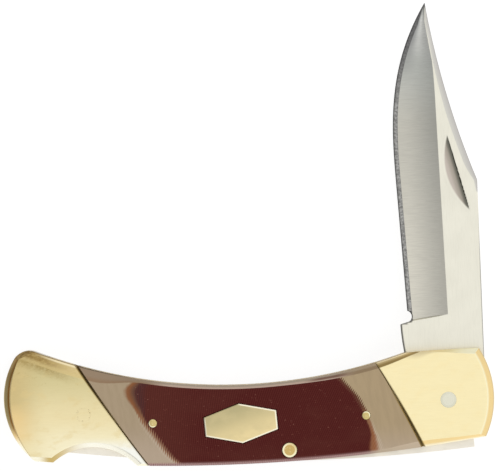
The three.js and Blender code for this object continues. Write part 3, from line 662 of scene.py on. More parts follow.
def edge_side(u):
    """The blade's boundary on the cutting side: the tang's round or flat, the kick, the choil, the
    straight edge and its curved front, whichever holds at u."""
    on_flat = flat_arc()
    on_kick = arc(KICK_U, KICK_V - KICK_RADIUS, KICK_RADIUS, -1)
    flat, kick = (of["centre"][1] + rise(u, of["centre"][0], of["radius"]) for of in (on_flat, on_kick))
    kick_end = crossing(on_flat, on_kick, np.array([TANG_RADIUS, KICK_V]))[0]
    round_or_flat = np.where(u < FLAT_ONLY_U, np.minimum(rise(u, 0.0, TANG_RADIUS), flat), flat)
    tang = np.where(u < kick_end, round_or_flat, kick)
    curve = belly_points()
    edge = np.where(u < BELLY_U, EDGE_START + EDGE_SLOPE * u, np.interp(u, curve[:, 0], curve[:, 1]))
    choil = CHOIL_V - rise(u, CHOIL_U, CHOIL_RADIUS)
    near_choil = np.abs(u - CHOIL_U) < CHOIL_RADIUS
    edge = np.where(near_choil, np.minimum(edge, choil), edge)
    face = smoothstep(u, KICK_FACE - 0.3, KICK_FACE + 0.5)
    return tang * (1 - face) + edge * face


def spine_side(u):
    """The blade's boundary on the spine side: the tang's round, the lock notch, the straight spine
    and the clip."""
    (n0, m0), (n1, m1) = notch_corners()
    centre_u, centre_v = clip_centre()
    clip = centre_v + rise(u, centre_u, CLIP_RADIUS)
    spine = np.where(u < CLIP_U, SPINE_V, clip)
    notch = m0 + (m1 - m0) * (u - n0) / (n1 - n0)
    back = np.where(u < n0, -rise(u, 0.0, TANG_RADIUS), notch)
    front = smoothstep(u, n1 - NOTCH_WALL, n1 + NOTCH_WALL)
    return back * (1 - front) + spine * front


def clip_centre():
    """Centre of the clip's hollow arc, through the tip and the clip's start."""
    start = np.array([CLIP_U, SPINE_V])
    half = np.hypot(*(start - TIP)) / 2
    way = (start - TIP) / (2 * half)
    return (TIP + start) / 2 + np.array([-way[1], way[0]]) * math.sqrt(CLIP_RADIUS**2 - half**2)


def blade_stations():
    """Places along u, close together where the outline turns and along the nail nick."""
    (n0, _), (n1, _) = notch_corners()
    parts = [
        TANG_RADIUS * -np.cos(np.linspace(0.04, math.pi / 2, 22)),
        np.linspace(0.1, n0 - NOTCH_WALL, 6),
        [n0 + NOTCH_WALL],
        np.linspace(n0 + 0.4, n1 - 0.1, 8),
        n1 + np.array([-NOTCH_WALL, 0.0, NOTCH_WALL]),
        np.linspace(n1 + 0.3, KICK_FACE - 0.45, 40),
        KICK_FACE + np.linspace(-0.3, 0.5, 10),
        CHOIL_U - CHOIL_RADIUS * np.cos(np.linspace(0.35, math.pi - 0.28, 22)),
        np.linspace(RICASSO, RICASSO + 1.7, 18),
        np.linspace(23.4, 47.5, 70),
        np.linspace(47.7, 69.2, 160),
        np.linspace(69.5, 92.0, 60),
        92 + (TIP[0] - 0.12 - 92) * np.sin(np.linspace(0.05, math.pi / 2, 36)),
    ]
    return np.unique(np.round(np.concatenate(parts), 4))


def nick_depth(u, v):
    """How deep the nail nick lies at a point: deepest along its straight wall and in its middle,
    with a floor that rises evenly across it and by the square along it. Where the floor meets the
    flat it is blunted as half of d + the root of d^2 + b^2."""
    cos, sin = math.cos(NICK_TILT), math.sin(NICK_TILT)
    along = (u - NICK_U) * cos + (v - NICK_V) * sin
    across = -(u - NICK_U) * sin + (v - NICK_V) * cos
    fullness = np.maximum(1 - (along / NICK_HALF) ** 2, 0)
    floor = NICK_DEPTH * (fullness - across / NICK_WIDTH)
    soft = 0.5 * (floor + np.sqrt(floor**2 + NICK_BLUNT**2))
    soft = soft - 0.5 * NICK_BLUNT * np.exp(-((floor / NICK_BLUNT) ** 2))
    return np.maximum(soft, 0) * smoothstep(across, -NICK_WALL, NICK_WALL) * (fullness > 0)


def blade_sections(u):
    """At the stations u, the limits in v of the swedge, the flat, the hollow grind and the edge
    bevel, and then the half thickness on the flat, at the spine and where the edge bevel starts.
    The grind line rises evenly and, towards the tip, also by the square of what lies past its turn.
    The edge bevel starts a fixed width inside the edge as it runs without the choil."""
    spine, edge = spine_side(u), edge_side(u)
    width = edge - spine
    half = np.minimum(BLADE_HALF, EDGE_HALF + 0.22 * width)
    clip = smoothstep(u, CLIP_U - 4, CLIP_U + 5)
    swedge_width = 0.3 + 1.35 * clip * (1 - 0.6 * smoothstep(u, CLIP_U + 14, TIP[0]))
    swedge = spine + np.minimum(swedge_width, 0.25 * width)
    spine_half = half * (1 - 0.69 * clip) - 0.12 * (1 - clip)
    straight = np.maximum(EDGE_START + EDGE_SLOPE * u, np.where(u < KICK_FACE, edge, 0.0))
    line = np.where(u < BELLY_U, straight, edge)
    bevel = np.minimum(line - np.minimum(1.25, 0.3 * width), edge - 0.3 * np.minimum(1, 0.2 * width))
    turned = np.maximum(u - GRIND_TURN_U, 0)
    grind = GRIND_V + GRIND_SLOPE * (u - RICASSO) + GRIND_CURVE * turned**2
    grind = np.clip(grind, swedge + 0.02 * width, bevel - 0.1 * width)
    shoulder = np.minimum(GRIND_SHOULDER, 0.6 * half)
    return spine, swedge, grind, bevel, edge, half, spine_half, shoulder


def blade_mesh(name):
    """The blade as one grid: stations along u, and round each station the upper face from the
    spine to the edge and the lower face back. A row at a share t of its zone lies between the
    zone's limits, and the hollow grind sags below its chord by 4t(1 - t) of its depth. The nail
    nick is pressed into the upper face only."""
    u = blade_stations()
    spine, swedge, grind, bevel, edge, half, spine_half, shoulder = blade_sections(u)
    rows = []

    def add(v, h, zone, hollow=0.0, sharpened=0.0):
        """One row along the blade: its place, its half thickness and what the finish needs."""
        rows.append((v, h, *(np.zeros(len(u)) + value for value in (hollow, sharpened, zone))))

    def ground(t):
        """0 on the ricasso and 1 on the ground part, whose start leans by the row's share."""
        start = RICASSO + GRIND_RUN * (1 - t)
        return smoothstep(u, start, start + 0.35)

    def hollow_half(t):
        """Half thickness of the hollow grind: the chord less the sag, where it is ground."""
        chord = half + (shoulder - half) * t
        sag = GRIND_SAG * (half / BLADE_HALF) * 4 * t * (1 - t)
        return half + (chord - sag - half) * ground(t)

    rim = np.minimum(0.1, 0.2 * (swedge - spine))
    add(spine, spine_half * 0.5, 0.0)
    add(spine, spine_half - rim, 0.0)
    add(spine + rim * 0.3, spine_half - rim * 0.3, 0.05)
    for t in (0.12, 0.3, 0.5, 0.7, 0.88, 1.0):
        add(spine + rim + (swedge - spine - rim) * t, spine_half + (half - spine_half) * t, t)
    close = np.minimum(0.06, 0.1 * (grind - swedge))
    for t in np.linspace(0, 1, 50):
        add(swedge + close + (grind - swedge - 2 * close) * t, half, 1.0 + t)
    add(grind, hollow_half(0.0), 2.0)
    for t in (0.006, 0.02, 0.05, *np.linspace(0.09, 0.95, 24), 0.975, 0.99, 1.0):
        add(grind + (bevel - grind) * t, hollow_half(t), 2.0 + t, ground(t))
    sharp = ground(1.0)
    for t in (0.03, 0.1, 0.3, 0.5, 0.7, 0.9, 1.0):
        ground_half = shoulder + (EDGE_HALF - shoulder) * t
        blunt_half = half - 0.1 * smoothstep(t, 0.7, 1.0)
        ground_now = blunt_half + (ground_half - blunt_half) * sharp
        add(bevel + (edge - bevel) * t, ground_now, 3.0 + t, sharp, sharp)
    v, h, hollow, sharpened, zone = np.array(rows).transpose(1, 2, 0)
    uu = np.broadcast_to(u[:, None], v.shape)
    nick = nick_depth(uu, v)
    upper = np.stack([uu, v, MIDDLE + h - nick], axis=-1)
    lower = np.stack([uu, v, MIDDLE - h], axis=-1)[:, ::-1]
    ring = np.concatenate([upper, lower], axis=1)
    points = ring.reshape(-1, 3)
    points[:, :2] = turn(points[:, :2], REST_ANGLE)
    stations, count = ring.shape[:2]
    quads = wall_quads(stations, count)
    half_count = count // 2
    strip = np.arange(half_count - 1)
    cap = np.column_stack([strip, strip + 1, count - 2 - strip, count - 1 - strip])
    faces = [quads[:, ::-1], cap, (cap + (stations - 1) * count)[:, ::-1]]

    def both(upper_values):
        """Values for the upper face, and the same ones back along the lower face."""
        return np.concatenate([upper_values, upper_values[:, ::-1]], axis=1).ravel()

    nick_mask = np.concatenate([np.clip(nick / 0.1, 0, 1), np.zeros_like(nick)], axis=1).ravel()
    attributes = {
        "hollow": both(hollow),
        "sharpened": both(sharpened),
        "zone": both(zone),
        "nick": nick_mask,
    }
    return new_object(name, points, faces, attributes)


# Shader expressions


class Value:
    """A socket that can stand in sums and products: each operator adds one Math node."""

    def __init__(self, tree, socket):
        self.tree = tree
        self.socket = socket

    def math(self, operation, *others, clamp=False):
        """One Math node of the operation, with this value first."""
        node = self.tree.nodes.new("ShaderNodeMath")
        node.operation = operation
        node.use_clamp = clamp
        for target, value in zip(node.inputs, (self, *others)):
            join(self.tree, value, target)
        return Value(self.tree, node.outputs[0])

    def __add__(self, other):
        return self.math("ADD", other)

    def __sub__(self, other):
        return self.math("SUBTRACT", other)

    def __rsub__(self, other):
        return self.math("MULTIPLY", -1.0).math("ADD", other)

    def __mul__(self, other):
        return self.math("MULTIPLY", other)

    def __truediv__(self, other):
        return self.math("DIVIDE", other)

    __radd__, __rmul__ = __add__, __mul__

    def ramp(self, low, high):
        """0 below low and 1 above high, 3t^2 - 2t^3 between; falls if low is above high."""
        t = ((self - low) / (high - low)).math("ADD", 0.0, clamp=True)
        return t * t * (3.0 - 2.0 * t)

    def stripes(self, pitch):
        """Even stripes from 0 to 1: half the sine of the value's turns at the pitch, plus a half."""
        return (self * (math.tau / pitch)).math("SINE") * 0.5 + 0.5

    def absolute(self):
        """The value without its sign."""
        return self.math("ABSOLUTE")

    def least(self, other):
        """The smaller of the two."""
        return self.math("MINIMUM", other)

    def most(self, other):
        """The larger of the two."""
        return self.math("MAXIMUM", other)


def join(tree, value, target):
    """Links a value to a socket, or writes a plain number or colour into it."""
    if isinstance(value, Value):
        tree.links.new(value.socket, target)
    elif target.type == "RGBA":
        target.default_value = (*tuple(value)[:3], 1.0)
    else:
        target.default_value = value


def linear(red, green, blue):
    """A screen colour of 0 to 255 as linear values."""
    parts = [c / 255 for c in (red, green, blue)]
    return tuple(c / 12.92 if c <= 0.04045 else ((c + 0.055) / 1.055) ** 2.4 for c in parts)


class Shader:
    """A material or world tree, and the one method that adds any other node."""

    def __init__(self, owner):
        owner.use_nodes = True
        self.tree = owner.node_tree
        self.tree.nodes.clear()
        self.coordinates = None

    def add(self, kind, settings=None, values=None, out=0):
        """A node of a type, with its settings made first and then the values of its sockets."""
        node = self.tree.nodes.new(kind)
        for key, value in (settings or {}).items():
            setattr(node, key, value)
        for key, value in (values or {}).items():
            join(self.tree, value, node.inputs[key])
        return Value(self.tree, node.outputs[out]) if node.outputs else None

    def layers(self, base, *rows):
        """A colour with others laid over it in order, each by the factor that stands before it. A
        tuple holds a colour's screen levels."""
        tone = linear(*base) if isinstance(base, tuple) else base
        for factor, over in rows:
            over = linear(*over) if isinstance(over, tuple) else over
            tone = self.add("ShaderNodeMix", {"data_type": "RGBA"}, {0: factor, 6: tone, 7: over}, out=2)
        return tone

    def place(self):
        """Object coordinates in millimetres."""
        if self.coordinates is None:
            metres = self.add("ShaderNodeTexCoord", out="Object")
            values = {0: metres, "Scale": 1 / MM}
            self.coordinates = self.add("ShaderNodeVectorMath", {"operation": "SCALE"}, values)
        return self.coordinates

    def axes(self, vector):
        """The three parts of a vector."""
        first = self.add("ShaderNodeSeparateXYZ", None, {0: vector})
        return [Value(self.tree, socket) for socket in first.socket.node.outputs]

    def noise(self, scale, detail=2.0, roughness=0.5, turned=0.0):
        """Noise from 0 to 1, of about one lump to each unit of the millimetres once they are turned
        about Z and scaled, which sets its direction and its grain."""
        settings = {"vector_type": "POINT"}
        values = {"Vector": self.place(), "Rotation": (0.0, 0.0, -turned)}
        along = self.add("ShaderNodeMapping", settings, values)
        lumps = self.add("ShaderNodeMapping", settings, {"Vector": along, "Scale": scale})
        values = {"Vector": lumps, "Scale": 1.0, "Detail": detail, "Roughness": roughness}
        return self.add("ShaderNodeTexNoise", None, values)

    def attribute(self, name):
        """A number stored on the mesh's points."""
        return self.add("ShaderNodeAttribute", {"attribute_name": name}, out="Fac")

    def surface(self, fixed, tone, roughness, height, distance_mm, strength, **linked):
        """The shader and output. Fixed numbers go onto the shader's own sockets, and the height of
        0 to 1 stands for a real distance."""
        relief = {"Height": height, "Distance": distance_mm * MM, "Strength": strength}
        normal = self.add("ShaderNodeBump", None, relief)
        values = {**fixed, "Base Color": tone, "Roughness": roughness, "Normal": normal}
        values.update({key.replace("_", " "): value for key, value in linked.items()})
        shader = self.add("ShaderNodeBsdfPrincipled", None, values)
        self.add("ShaderNodeOutputMaterial", None, {"Surface": shader})

    def metal(self, tone, roughness, height, distance_mm=0.004, strength=0.5):
        """Closes the material as bare metal with a fine relief."""
        self.surface({"Metallic": 1.0}, tone, roughness, height, distance_mm, strength)


def new_material(name):
    """An empty material and its tree."""
    material = bpy.data.materials.new(name)
    return material, Shader(material)


# Finishes


def bevel_masks(s):
    """The share of the bevel's width, and a function that gives 1 on the stretches named."""
    share = s.attribute("bevel")
    number = s.attribute("stretch")

    def on(*stretches):
        """The sum of a narrow hump round each stretch's number."""
        masks = [(number - float(STRETCHES[key])).absolute().ramp(0.45, 0.1) for key in stretches]
        return sum(masks[1:], start=masks[0])

    return share, on


def from_point(x, y, centre):
    """Offsets from a point in the plane, and the distance, the root of the sum of their squares."""
    dx, dy = x - float(centre[0]), y - float(centre[1])
    return dx, dy, (dx * dx + dy * dy).math("SQRT")


def arc_distance(x, y, part):
    """Distance outwards from an arc, in the plane."""
    return from_point(x, y, part["centre"])[2] - float(part["radius"])


def rear_tones(s, look, x, y, share, on, cloud, mottle):
    """Tones of the rear bolster's flat and of its bevels, with light and shade painted in. The flat is
    painted lighter towards the bottom, with painted highlights at the lower left and near the notch,
    painted shade at the far left and near the heel, and is mottled darker along the top. The bevels
    have painted shade along the top, at the heel and round the butt, a painted bright rim on the
    butt's bevel, and painted highlights towards the notch and along the back."""
    # Painted shade over the flat along the concave front at the heel
    shade_marks = arc_distance(x, y, BELLY).ramp(5.6, 2.8) * x.ramp(-94.0, -104.0)
    flat = s.layers(
        (214, 202, 150),
        # Painted light on the flat: lighter towards the bottom, painted highlights at the lower left and by
        # the notch, and painted shade at the far left
        (y.ramp(8.5, -6.0), (243, 228, 180)),
        (y.ramp(-4.0, -14.0) * x.ramp(-112.0, -98.0), (255, 247, 212)),
        (x.ramp(-103.0, -112.5) * y.ramp(-13.0, 0.0), (214, 193, 138)),
        (x.ramp(-99.0, -90.0) * y.ramp(-9.5, -13.5), (255, 255, 246)),
        (cloud.ramp(0.5, 0.7) * 0.3, (232, 208, 146)),
        (mottle.ramp(0.55, 0.7) * y.ramp(1.0, 7.5) * 0.4, (176, 154, 96)),
        (shade_marks * (mottle.ramp(0.3, 0.6) * 0.5 + 0.4), (172, 148, 92)),
    )
    # Painted shade: the dark, mottled tone of the bevel at the heel
    corner = s.layers((128, 104, 62), (mottle.ramp(0.4, 0.65) * 0.7, (174, 148, 96)))
    # Painted shade along the top bevel, darkest at the heel and lighter towards its inner edge
    along_top = s.layers(
        corner,
        (x.ramp(-112.0, -106.0), look.heel_bevel_shade),
        (x.ramp(-106.0, -95.5), (222, 200, 146)),
        (mottle.ramp(0.4, 0.65) * 0.45, (206, 184, 122)),
        (share.ramp(0.5, 0.85) * 0.6, (220, 200, 142)),
    )
    # Painted light on the butt's bevel: browner towards its inner edge, painted shade at the top and a
    # painted highlight at the bottom
    butt = s.layers(
        (186, 166, 118),
        (share.ramp(0.4, 0.8), (158, 108, 44)),
        (y.ramp(2.0, 7.0) * 0.6, (122, 96, 54)),
        (y.ramp(-6.5, -10.5), (236, 206, 146)),
        (y.ramp(-9.0, -12.5), (255, 250, 222)),
    )
    # Painted highlight on the bevel of the beak and notch, less bright near its left end
    notch = s.layers(
        (255, 250, 226),
        (x.ramp(-106.0, -102.5), (206, 180, 112)),
        (x.ramp(-103.0, -92.0), (255, 252, 236)),
    )
    # Painted highlight: a bright rim near the inner edge of the butt's bevel
    rim = share.ramp(0.86, 0.92) * share.ramp(1.0, 0.97) * on("butt") * y.ramp(8.0, 4.0)
    # The bevels' golden tone with the painted light of each stretch, and a painted highlight along the back
    bevels = s.layers(
        look.golden,
        (on("belly"), along_top),
        (on("heel"), corner),
        (on("butt"), butt),
        (on("beak", "notch"), notch),
        (on("back"), (255, 250, 224)),
        (rim, (255, 226, 170)),
    )
    return flat, bevels


def front_tones(s, look, x, y, share, on, cloud):
    """Tones of the front bolster's flat, with painted shade along its shoulder, and of its bevels,
    with painted light: painted shade on the concave front and at the nose's outer edge, and painted
    highlights on the shoulder, inside the nose and along the back.
    """
    # Painted shade on the flat within about 1 to 2 mm of the shoulder's edge
    inward = arc_distance(x, y, SHOULDER) / (0.9 + 1.3 * x.ramp(-3.5, -8.0))
    shade_marks = inward.ramp(-1.0, -0.1) * x.ramp(9.0, 0.0) * x.ramp(-12.0, -8.5)
    flat = s.layers(
        look.pale, (cloud.ramp(0.45, 0.75) * 0.5, look.mid), (shade_marks * 0.85, (212, 196, 154))
    )
    # Painted light and shade on each bevel by the way it faces
    bevels = s.layers(
        look.golden,
        (on("belly"), s.layers((214, 190, 138), (share.ramp(0.25, 0.7), (168, 142, 90)))),
        (on("shoulder"), s.layers((250, 226, 164), (x.ramp(-6.0, 6.0), (255, 250, 216)))),
        (on("nose") * share.ramp(0.22, 0.02) * 0.8, (214, 192, 150)),
        (on("nose") * share.ramp(0.62, 0.95), (255, 248, 210)),
        (on("back") * share.ramp(0.5, 0.1), (255, 244, 210)),
    )
    return flat, bevels


def ring_specks(s, x, y):
    """Dark specks scattered close to the edge of the butt pin, which is ground flush."""
    away = from_point(x, y, BUTT_PIN)[2] - (BUTT_PIN_RADIUS + 0.02)
    grit = s.noise((2.3, 2.3, 0.4), 3.0, 0.7)
    return away.absolute().ramp(0.42, 0.12) * grit.ramp(0.6, 0.67) * 0.85


def bolster_brass(name, look, rear):
    """Satin brass with faint brushing along the handle, the painted light and shade of each bevel, a
    painted highlight line inside the bevel at the heel, painted shade on the wall along the concave
    front and the heel, and a dark joint. The rear bolster is warm at its left and shows the flush pin
    as specks."""
    material, s = new_material(name)
    x, y, _ = s.axes(s.place())
    share, on = bevel_masks(s)
    cloud = s.noise((0.3, 0.5, 0.3), 3.0, 0.6, 0.2)
    brush = s.noise((0.35, 9.0, 3.0), 2.0, 0.7, 0.03)
    if rear:
        mottle = s.noise((1.1, 1.7, 1.0), 4.0, 0.7, 0.3)
        flat, bevels = rear_tones(s, look, x, y, share, on, cloud, mottle)
        end, seam_weight = REAR_BOLSTER_END, y.ramp(-8.0, 4.0)
    else:
        flat, bevels = front_tones(s, look, x, y, share, on, cloud)
        end, seam_weight = FRONT_BOLSTER_END, y.ramp(6.0, -4.0)
    # Painted highlight: a cream line just inside the bevel's outer edge at the heel
    cream = share.ramp(0.04, 0.1) * share.ramp(0.28, 0.16) * on("belly") * x.ramp(-108.0, -100.0)
    # Painted shade on the upright wall along the concave front and the heel
    wall = share.ramp(0.06, 0.01) * on("belly", "heel")
    # A dark joint line, stronger towards the top on the rear bolster and towards the bottom on the front
    seam = arc_distance(x, y, end).absolute().ramp(0.42, 0.1)
    tone = s.layers(
        flat,
        (share.ramp(1.0, 0.94), s.layers(bevels, (cream * 0.8, (255, 240, 200)), (wall, (120, 98, 58)))),
        (brush.ramp(0.35, 0.65) * 0.04, (150, 120, 60)),
        (seam * (0.3 + 0.6 * seam_weight), (128, 104, 48)),
    )
    if rear:
        warm = x.ramp(-105.0, -112.0) * y.ramp(0.0, -5.0) * y.ramp(-13.0, -9.0) * share.ramp(0.94, 1.0)
        tone = s.layers(tone, (warm * 0.6, (248, 214, 150)), (ring_specks(s, x, y), (120, 96, 52)))
    s.metal(tone, 0.26 + 0.08 * brush + 0.06 * cloud, brush * 0.6 + cloud * 0.4)
    return material


def plain_metal(name, colour, dark, roughness, grain=(0.4, 7.0, 3.0), turned=0.0, joints=False):
    """A metal with fine drawn lines along one direction and slow changes of tone. With joints it
    is dark where the joints between bolsters and scales lie over it."""
    material, s = new_material(name)
    lines = s.noise(grain, 2.0, 0.7, turned)
    slow = s.noise((0.2, 0.3, 0.3))
    tone = s.layers(colour, (slow.ramp(0.35, 0.7) * 0.5 + lines * 0.3, dark))
    if joints:
        x, y, _ = s.axes(s.place())
        # Dark lines where the joints lie over the liner, with a weight that changes along y
        for seam, seam_weight in ((REAR_SEAM, y.ramp(-6.0, 4.0)), (FRONT_SEAM, y.ramp(2.0, -6.0) * 0.72)):
            near = arc_distance(x, y, seam).absolute().ramp(0.75, 0.5)
            tone = s.layers(tone, (near * seam_weight * 0.85, (76, 52, 18)))
    s.metal(tone, roughness + 0.1 * lines, lines)
    return material


def pin_metal(name, centre, radius, middle, rim, lit=(-0.6, -0.8, -1.6, 0.2)):
    """A pin's end: fine turned rings round the middle, and a rim that is bright on the side where
    the light strikes it, given as a direction and the two distances along it, in radii, where that
    starts and is full."""
    material, s = new_material(name)
    x, y, _ = s.axes(s.place())
    dx, dy, away = from_point(x, y, centre)
    rings = away.stripes(math.tau / 22)
    speck = s.noise((2.2, 2.2, 2.2), 3.0, 0.6)
    struck = ((dx * lit[0] + dy * lit[1]) / radius).ramp(*lit[2:])
    rim_share = (away / radius).ramp(0.66, 0.8) * struck
    tone = s.layers(middle, (rim_share, rim), (speck.ramp(0.5, 0.75) * 0.35, rim))
    s.metal(tone, 0.22 + 0.06 * speck, rings * 0.5 + speck * 0.5)
    return material


def shield_brass(name):
    """Satin brass with soft smudges across the shield and painted light: darker and greener along
    its top and left, lighter and golden at the lower right, and a painted highlight along the rim
    except on the side that faces up and left."""
    material, s = new_material(name)
    x, y, _ = s.axes(s.place())
    dx, dy, _ = from_point(x, y, SHIELD_CENTRE)
    smudge = s.noise((0.25, 0.35, 0.2), 3.0, 0.6)
    brush = s.noise((0.4, 8.0, 3.0), 2.0, 0.7, 0.1)
    cos, sin = math.cos(SHIELD_TILT), math.sin(SHIELD_TILT)
    along, across = dx * cos + dy * sin, dy * cos - dx * sin
    end, half = float(SHIELD_CORNERS[3][0]), float(SHIELD_CORNERS[4][1])
    fall = (half - float(SHIELD_CORNERS[3][1])) / end
    from_side = (half - along.absolute() * fall - across.absolute()) / math.hypot(1, fall)
    edge = from_side.least(end - along.absolute())
    # Where the painted rim highlight is left out: the side that faces up and left
    dull = across.ramp(1.6, 2.6) * along.ramp(0.6, -0.6)
    tone = s.layers(
        (190, 178, 134),
        # Painted light: lighter and golden towards the lower right
        ((dy - dx * 0.35).ramp(4.5, -4.5), (238, 218, 164)),
        (smudge.ramp(0.4, 0.7) * 0.5, (214, 198, 150)),
        # Painted highlight along the rim
        (edge.ramp(0.56, 0.42) * (1.0 - dull), (255, 248, 222)),
    )
    s.metal(tone, 0.26 + 0.1 * brush, brush * 0.6 + smudge * 0.4, strength=0.6)
    return material


def tang_lines(u, v, zone):
    """Dark lines on the blade where it turns away from the light: the tang's edge up to the kick's
    face, that face, the choil's wall and a spot beside the bolster; the strongest one counts."""
    tang = zone.ramp(3.5, 3.85) * u.ramp(KICK_FACE + 0.9, KICK_FACE + 0.1)
    choil = zone.ramp(3.0, 3.4) * u.ramp(KICK_FACE, KICK_FACE + 0.3) * u.ramp(23.4, 23.0)
    kick = u.ramp(KICK_FACE - 0.5, KICK_FACE - 0.1) * u.ramp(KICK_FACE + 0.9, KICK_FACE + 0.5)
    spot = u.ramp(13.0, 12.3) * v.ramp(9.9, 10.4)
    return tang.most(choil).most(kick * v.ramp(9.2, 9.9) * 0.8).most(spot)


def blade_steel(name, look):
    """Blade steel: bright satin flats with painted shade along the spine's edge, a darker hollow
    grind with fine lines across the blade and painted light and shade across it, a mottled
    sharpened bevel with painted shade, and painted shade in the nail nick and at the very tip."""
    material, s = new_material(name)
    x, y, _ = s.axes(s.place())
    cos, sin = math.cos(REST_ANGLE), math.sin(REST_ANGLE)
    u, v = x * cos + y * sin, y * cos - x * sin
    hollow, sharpened, nick, zone = (s.attribute(key) for key in ("hollow", "sharpened", "nick", "zone"))
    square = REST_ANGLE + math.pi / 2
    across = s.noise((6.0, 0.35, 2.0), 2.0, 0.6, square)
    grinding = s.noise((0.3, 9.0, 2.0), 2.0, 0.6, square)
    cloud = s.noise((0.12, 0.12, 0.12))
    mottle = s.noise((1.6, 1.6, 1.6), 3.0, 0.7)
    clip = u.ramp(CLIP_U - 3.6, CLIP_U - 2.6)
    # Painted shade along the spine's edge, fading out before the clip, and a narrow one along the clip's
    # edge
    spine_edge_shade = zone.ramp(0.85, 0.4) * u.ramp(52.0, 30.0) + zone.ramp(0.12, 0.02) * clip
    flats = s.layers(
        look.flat,
        (cloud.ramp(0.3, 0.7) * 0.5, (232, 229, 214)),
        (across.ramp(0.4, 0.7) * 0.1, (190, 188, 176)),
        (zone.ramp(1.02, 0.98) * clip, s.layers((202, 199, 194), (zone.ramp(0.2, 0.9), (214, 212, 204)))),
        (spine_edge_shade * 0.7, (118, 117, 114)),
    )
    # The hollow grind with painted light: lighter near the choil and the edge, darker towards the grind
    # line and the tip, lighter again further out, a painted highlight short of the tip and painted shade
    # towards the edge bevel near the tip
    grind = s.layers(
        look.hollow_low,
        (u.ramp(30.0, 75.0) * 0.5 + v.ramp(9.0, 0.0) * 0.5, look.hollow_high),
        (u.ramp(70.0, 88.0) * 0.8, (192, 195, 190)),
        (u.ramp(86.0, 98.0) * u.ramp(101.2, 97.5), (255, 255, 250)),
        (grinding.ramp(0.35, 0.7) * 0.2, (140, 138, 130)),
        (zone.ramp(2.45, 3.0) * u.ramp(80.0, 95.0) * 0.75, (112, 113, 114)),
    )
    # The mottled sharpened bevel, with painted shade towards the tip, along the cutting edge and along the
    # line where the bevel starts
    edge = s.layers(
        look.edge,
        (mottle.ramp(0.35, 0.65), (218, 217, 213)),
        (u.ramp(72.0, 94.0) * 0.75, (112, 112, 113)),
        (zone.ramp(3.6, 3.9) * 0.8, (76, 75, 75)),
        (zone.ramp(3.22, 3.02) * 0.35, (100, 100, 98)),
    )
    wall = (v - NICK_V) * math.cos(NICK_TILT) - (u - NICK_U) * math.sin(NICK_TILT)
    # Painted shade in the nail nick, darkest at its straight wall
    pressed = s.layers(
        (198, 188, 178), (wall.ramp(2.4, 1.2), (172, 164, 152)), (wall.ramp(1.3, 0.3), (108, 107, 97))
    )
    tone = s.layers(
        flats,
        (hollow, grind),
        (sharpened, edge),
        (tang_lines(u, v, zone) * 0.85, (72, 70, 68)),
        # Painted shade at the very tip
        (u.ramp(100.6, 102.0), (96, 96, 95)),
        (nick, pressed),
    )
    height = across * (1.0 - hollow) * 0.5 + grinding * hollow + mottle * sharpened * 0.6
    s.metal(tone, 0.3 + 0.06 * grinding - 0.04 * sharpened, height, 0.005, 0.55)
    return material


def scale_bands(s, x, share):
    """Tones of the layers along the scales' upper bevel: grey and pink in the middle, browner at
    the rear, tan at the front, and a dark stretch just behind that."""
    rear = s.layers(
        (164, 142, 118),
        (share.ramp(0.5, 0.9), (160, 132, 104)),
        (share.ramp(0.1, 0.03) * x.ramp(-78.0, -86.0), (104, 92, 78)),
    )
    front = s.layers((184, 164, 136), (share.ramp(0.3, 0.6), (162, 138, 108)))
    dark = x.ramp(-38.0, -33.0) * x.ramp(-24.0, -29.0) * share.ramp(0.2, 0.5) * share.ramp(0.95, 0.7)
    return s.layers(
        (186, 170, 150),
        (share.ramp(0.45, 0.6), (212, 186, 168)),
        (x.ramp(-71.0, -79.0), rear),
        (x.ramp(-31.0, -23.0), front),
        (dark * 0.8, (112, 72, 58)),
    )


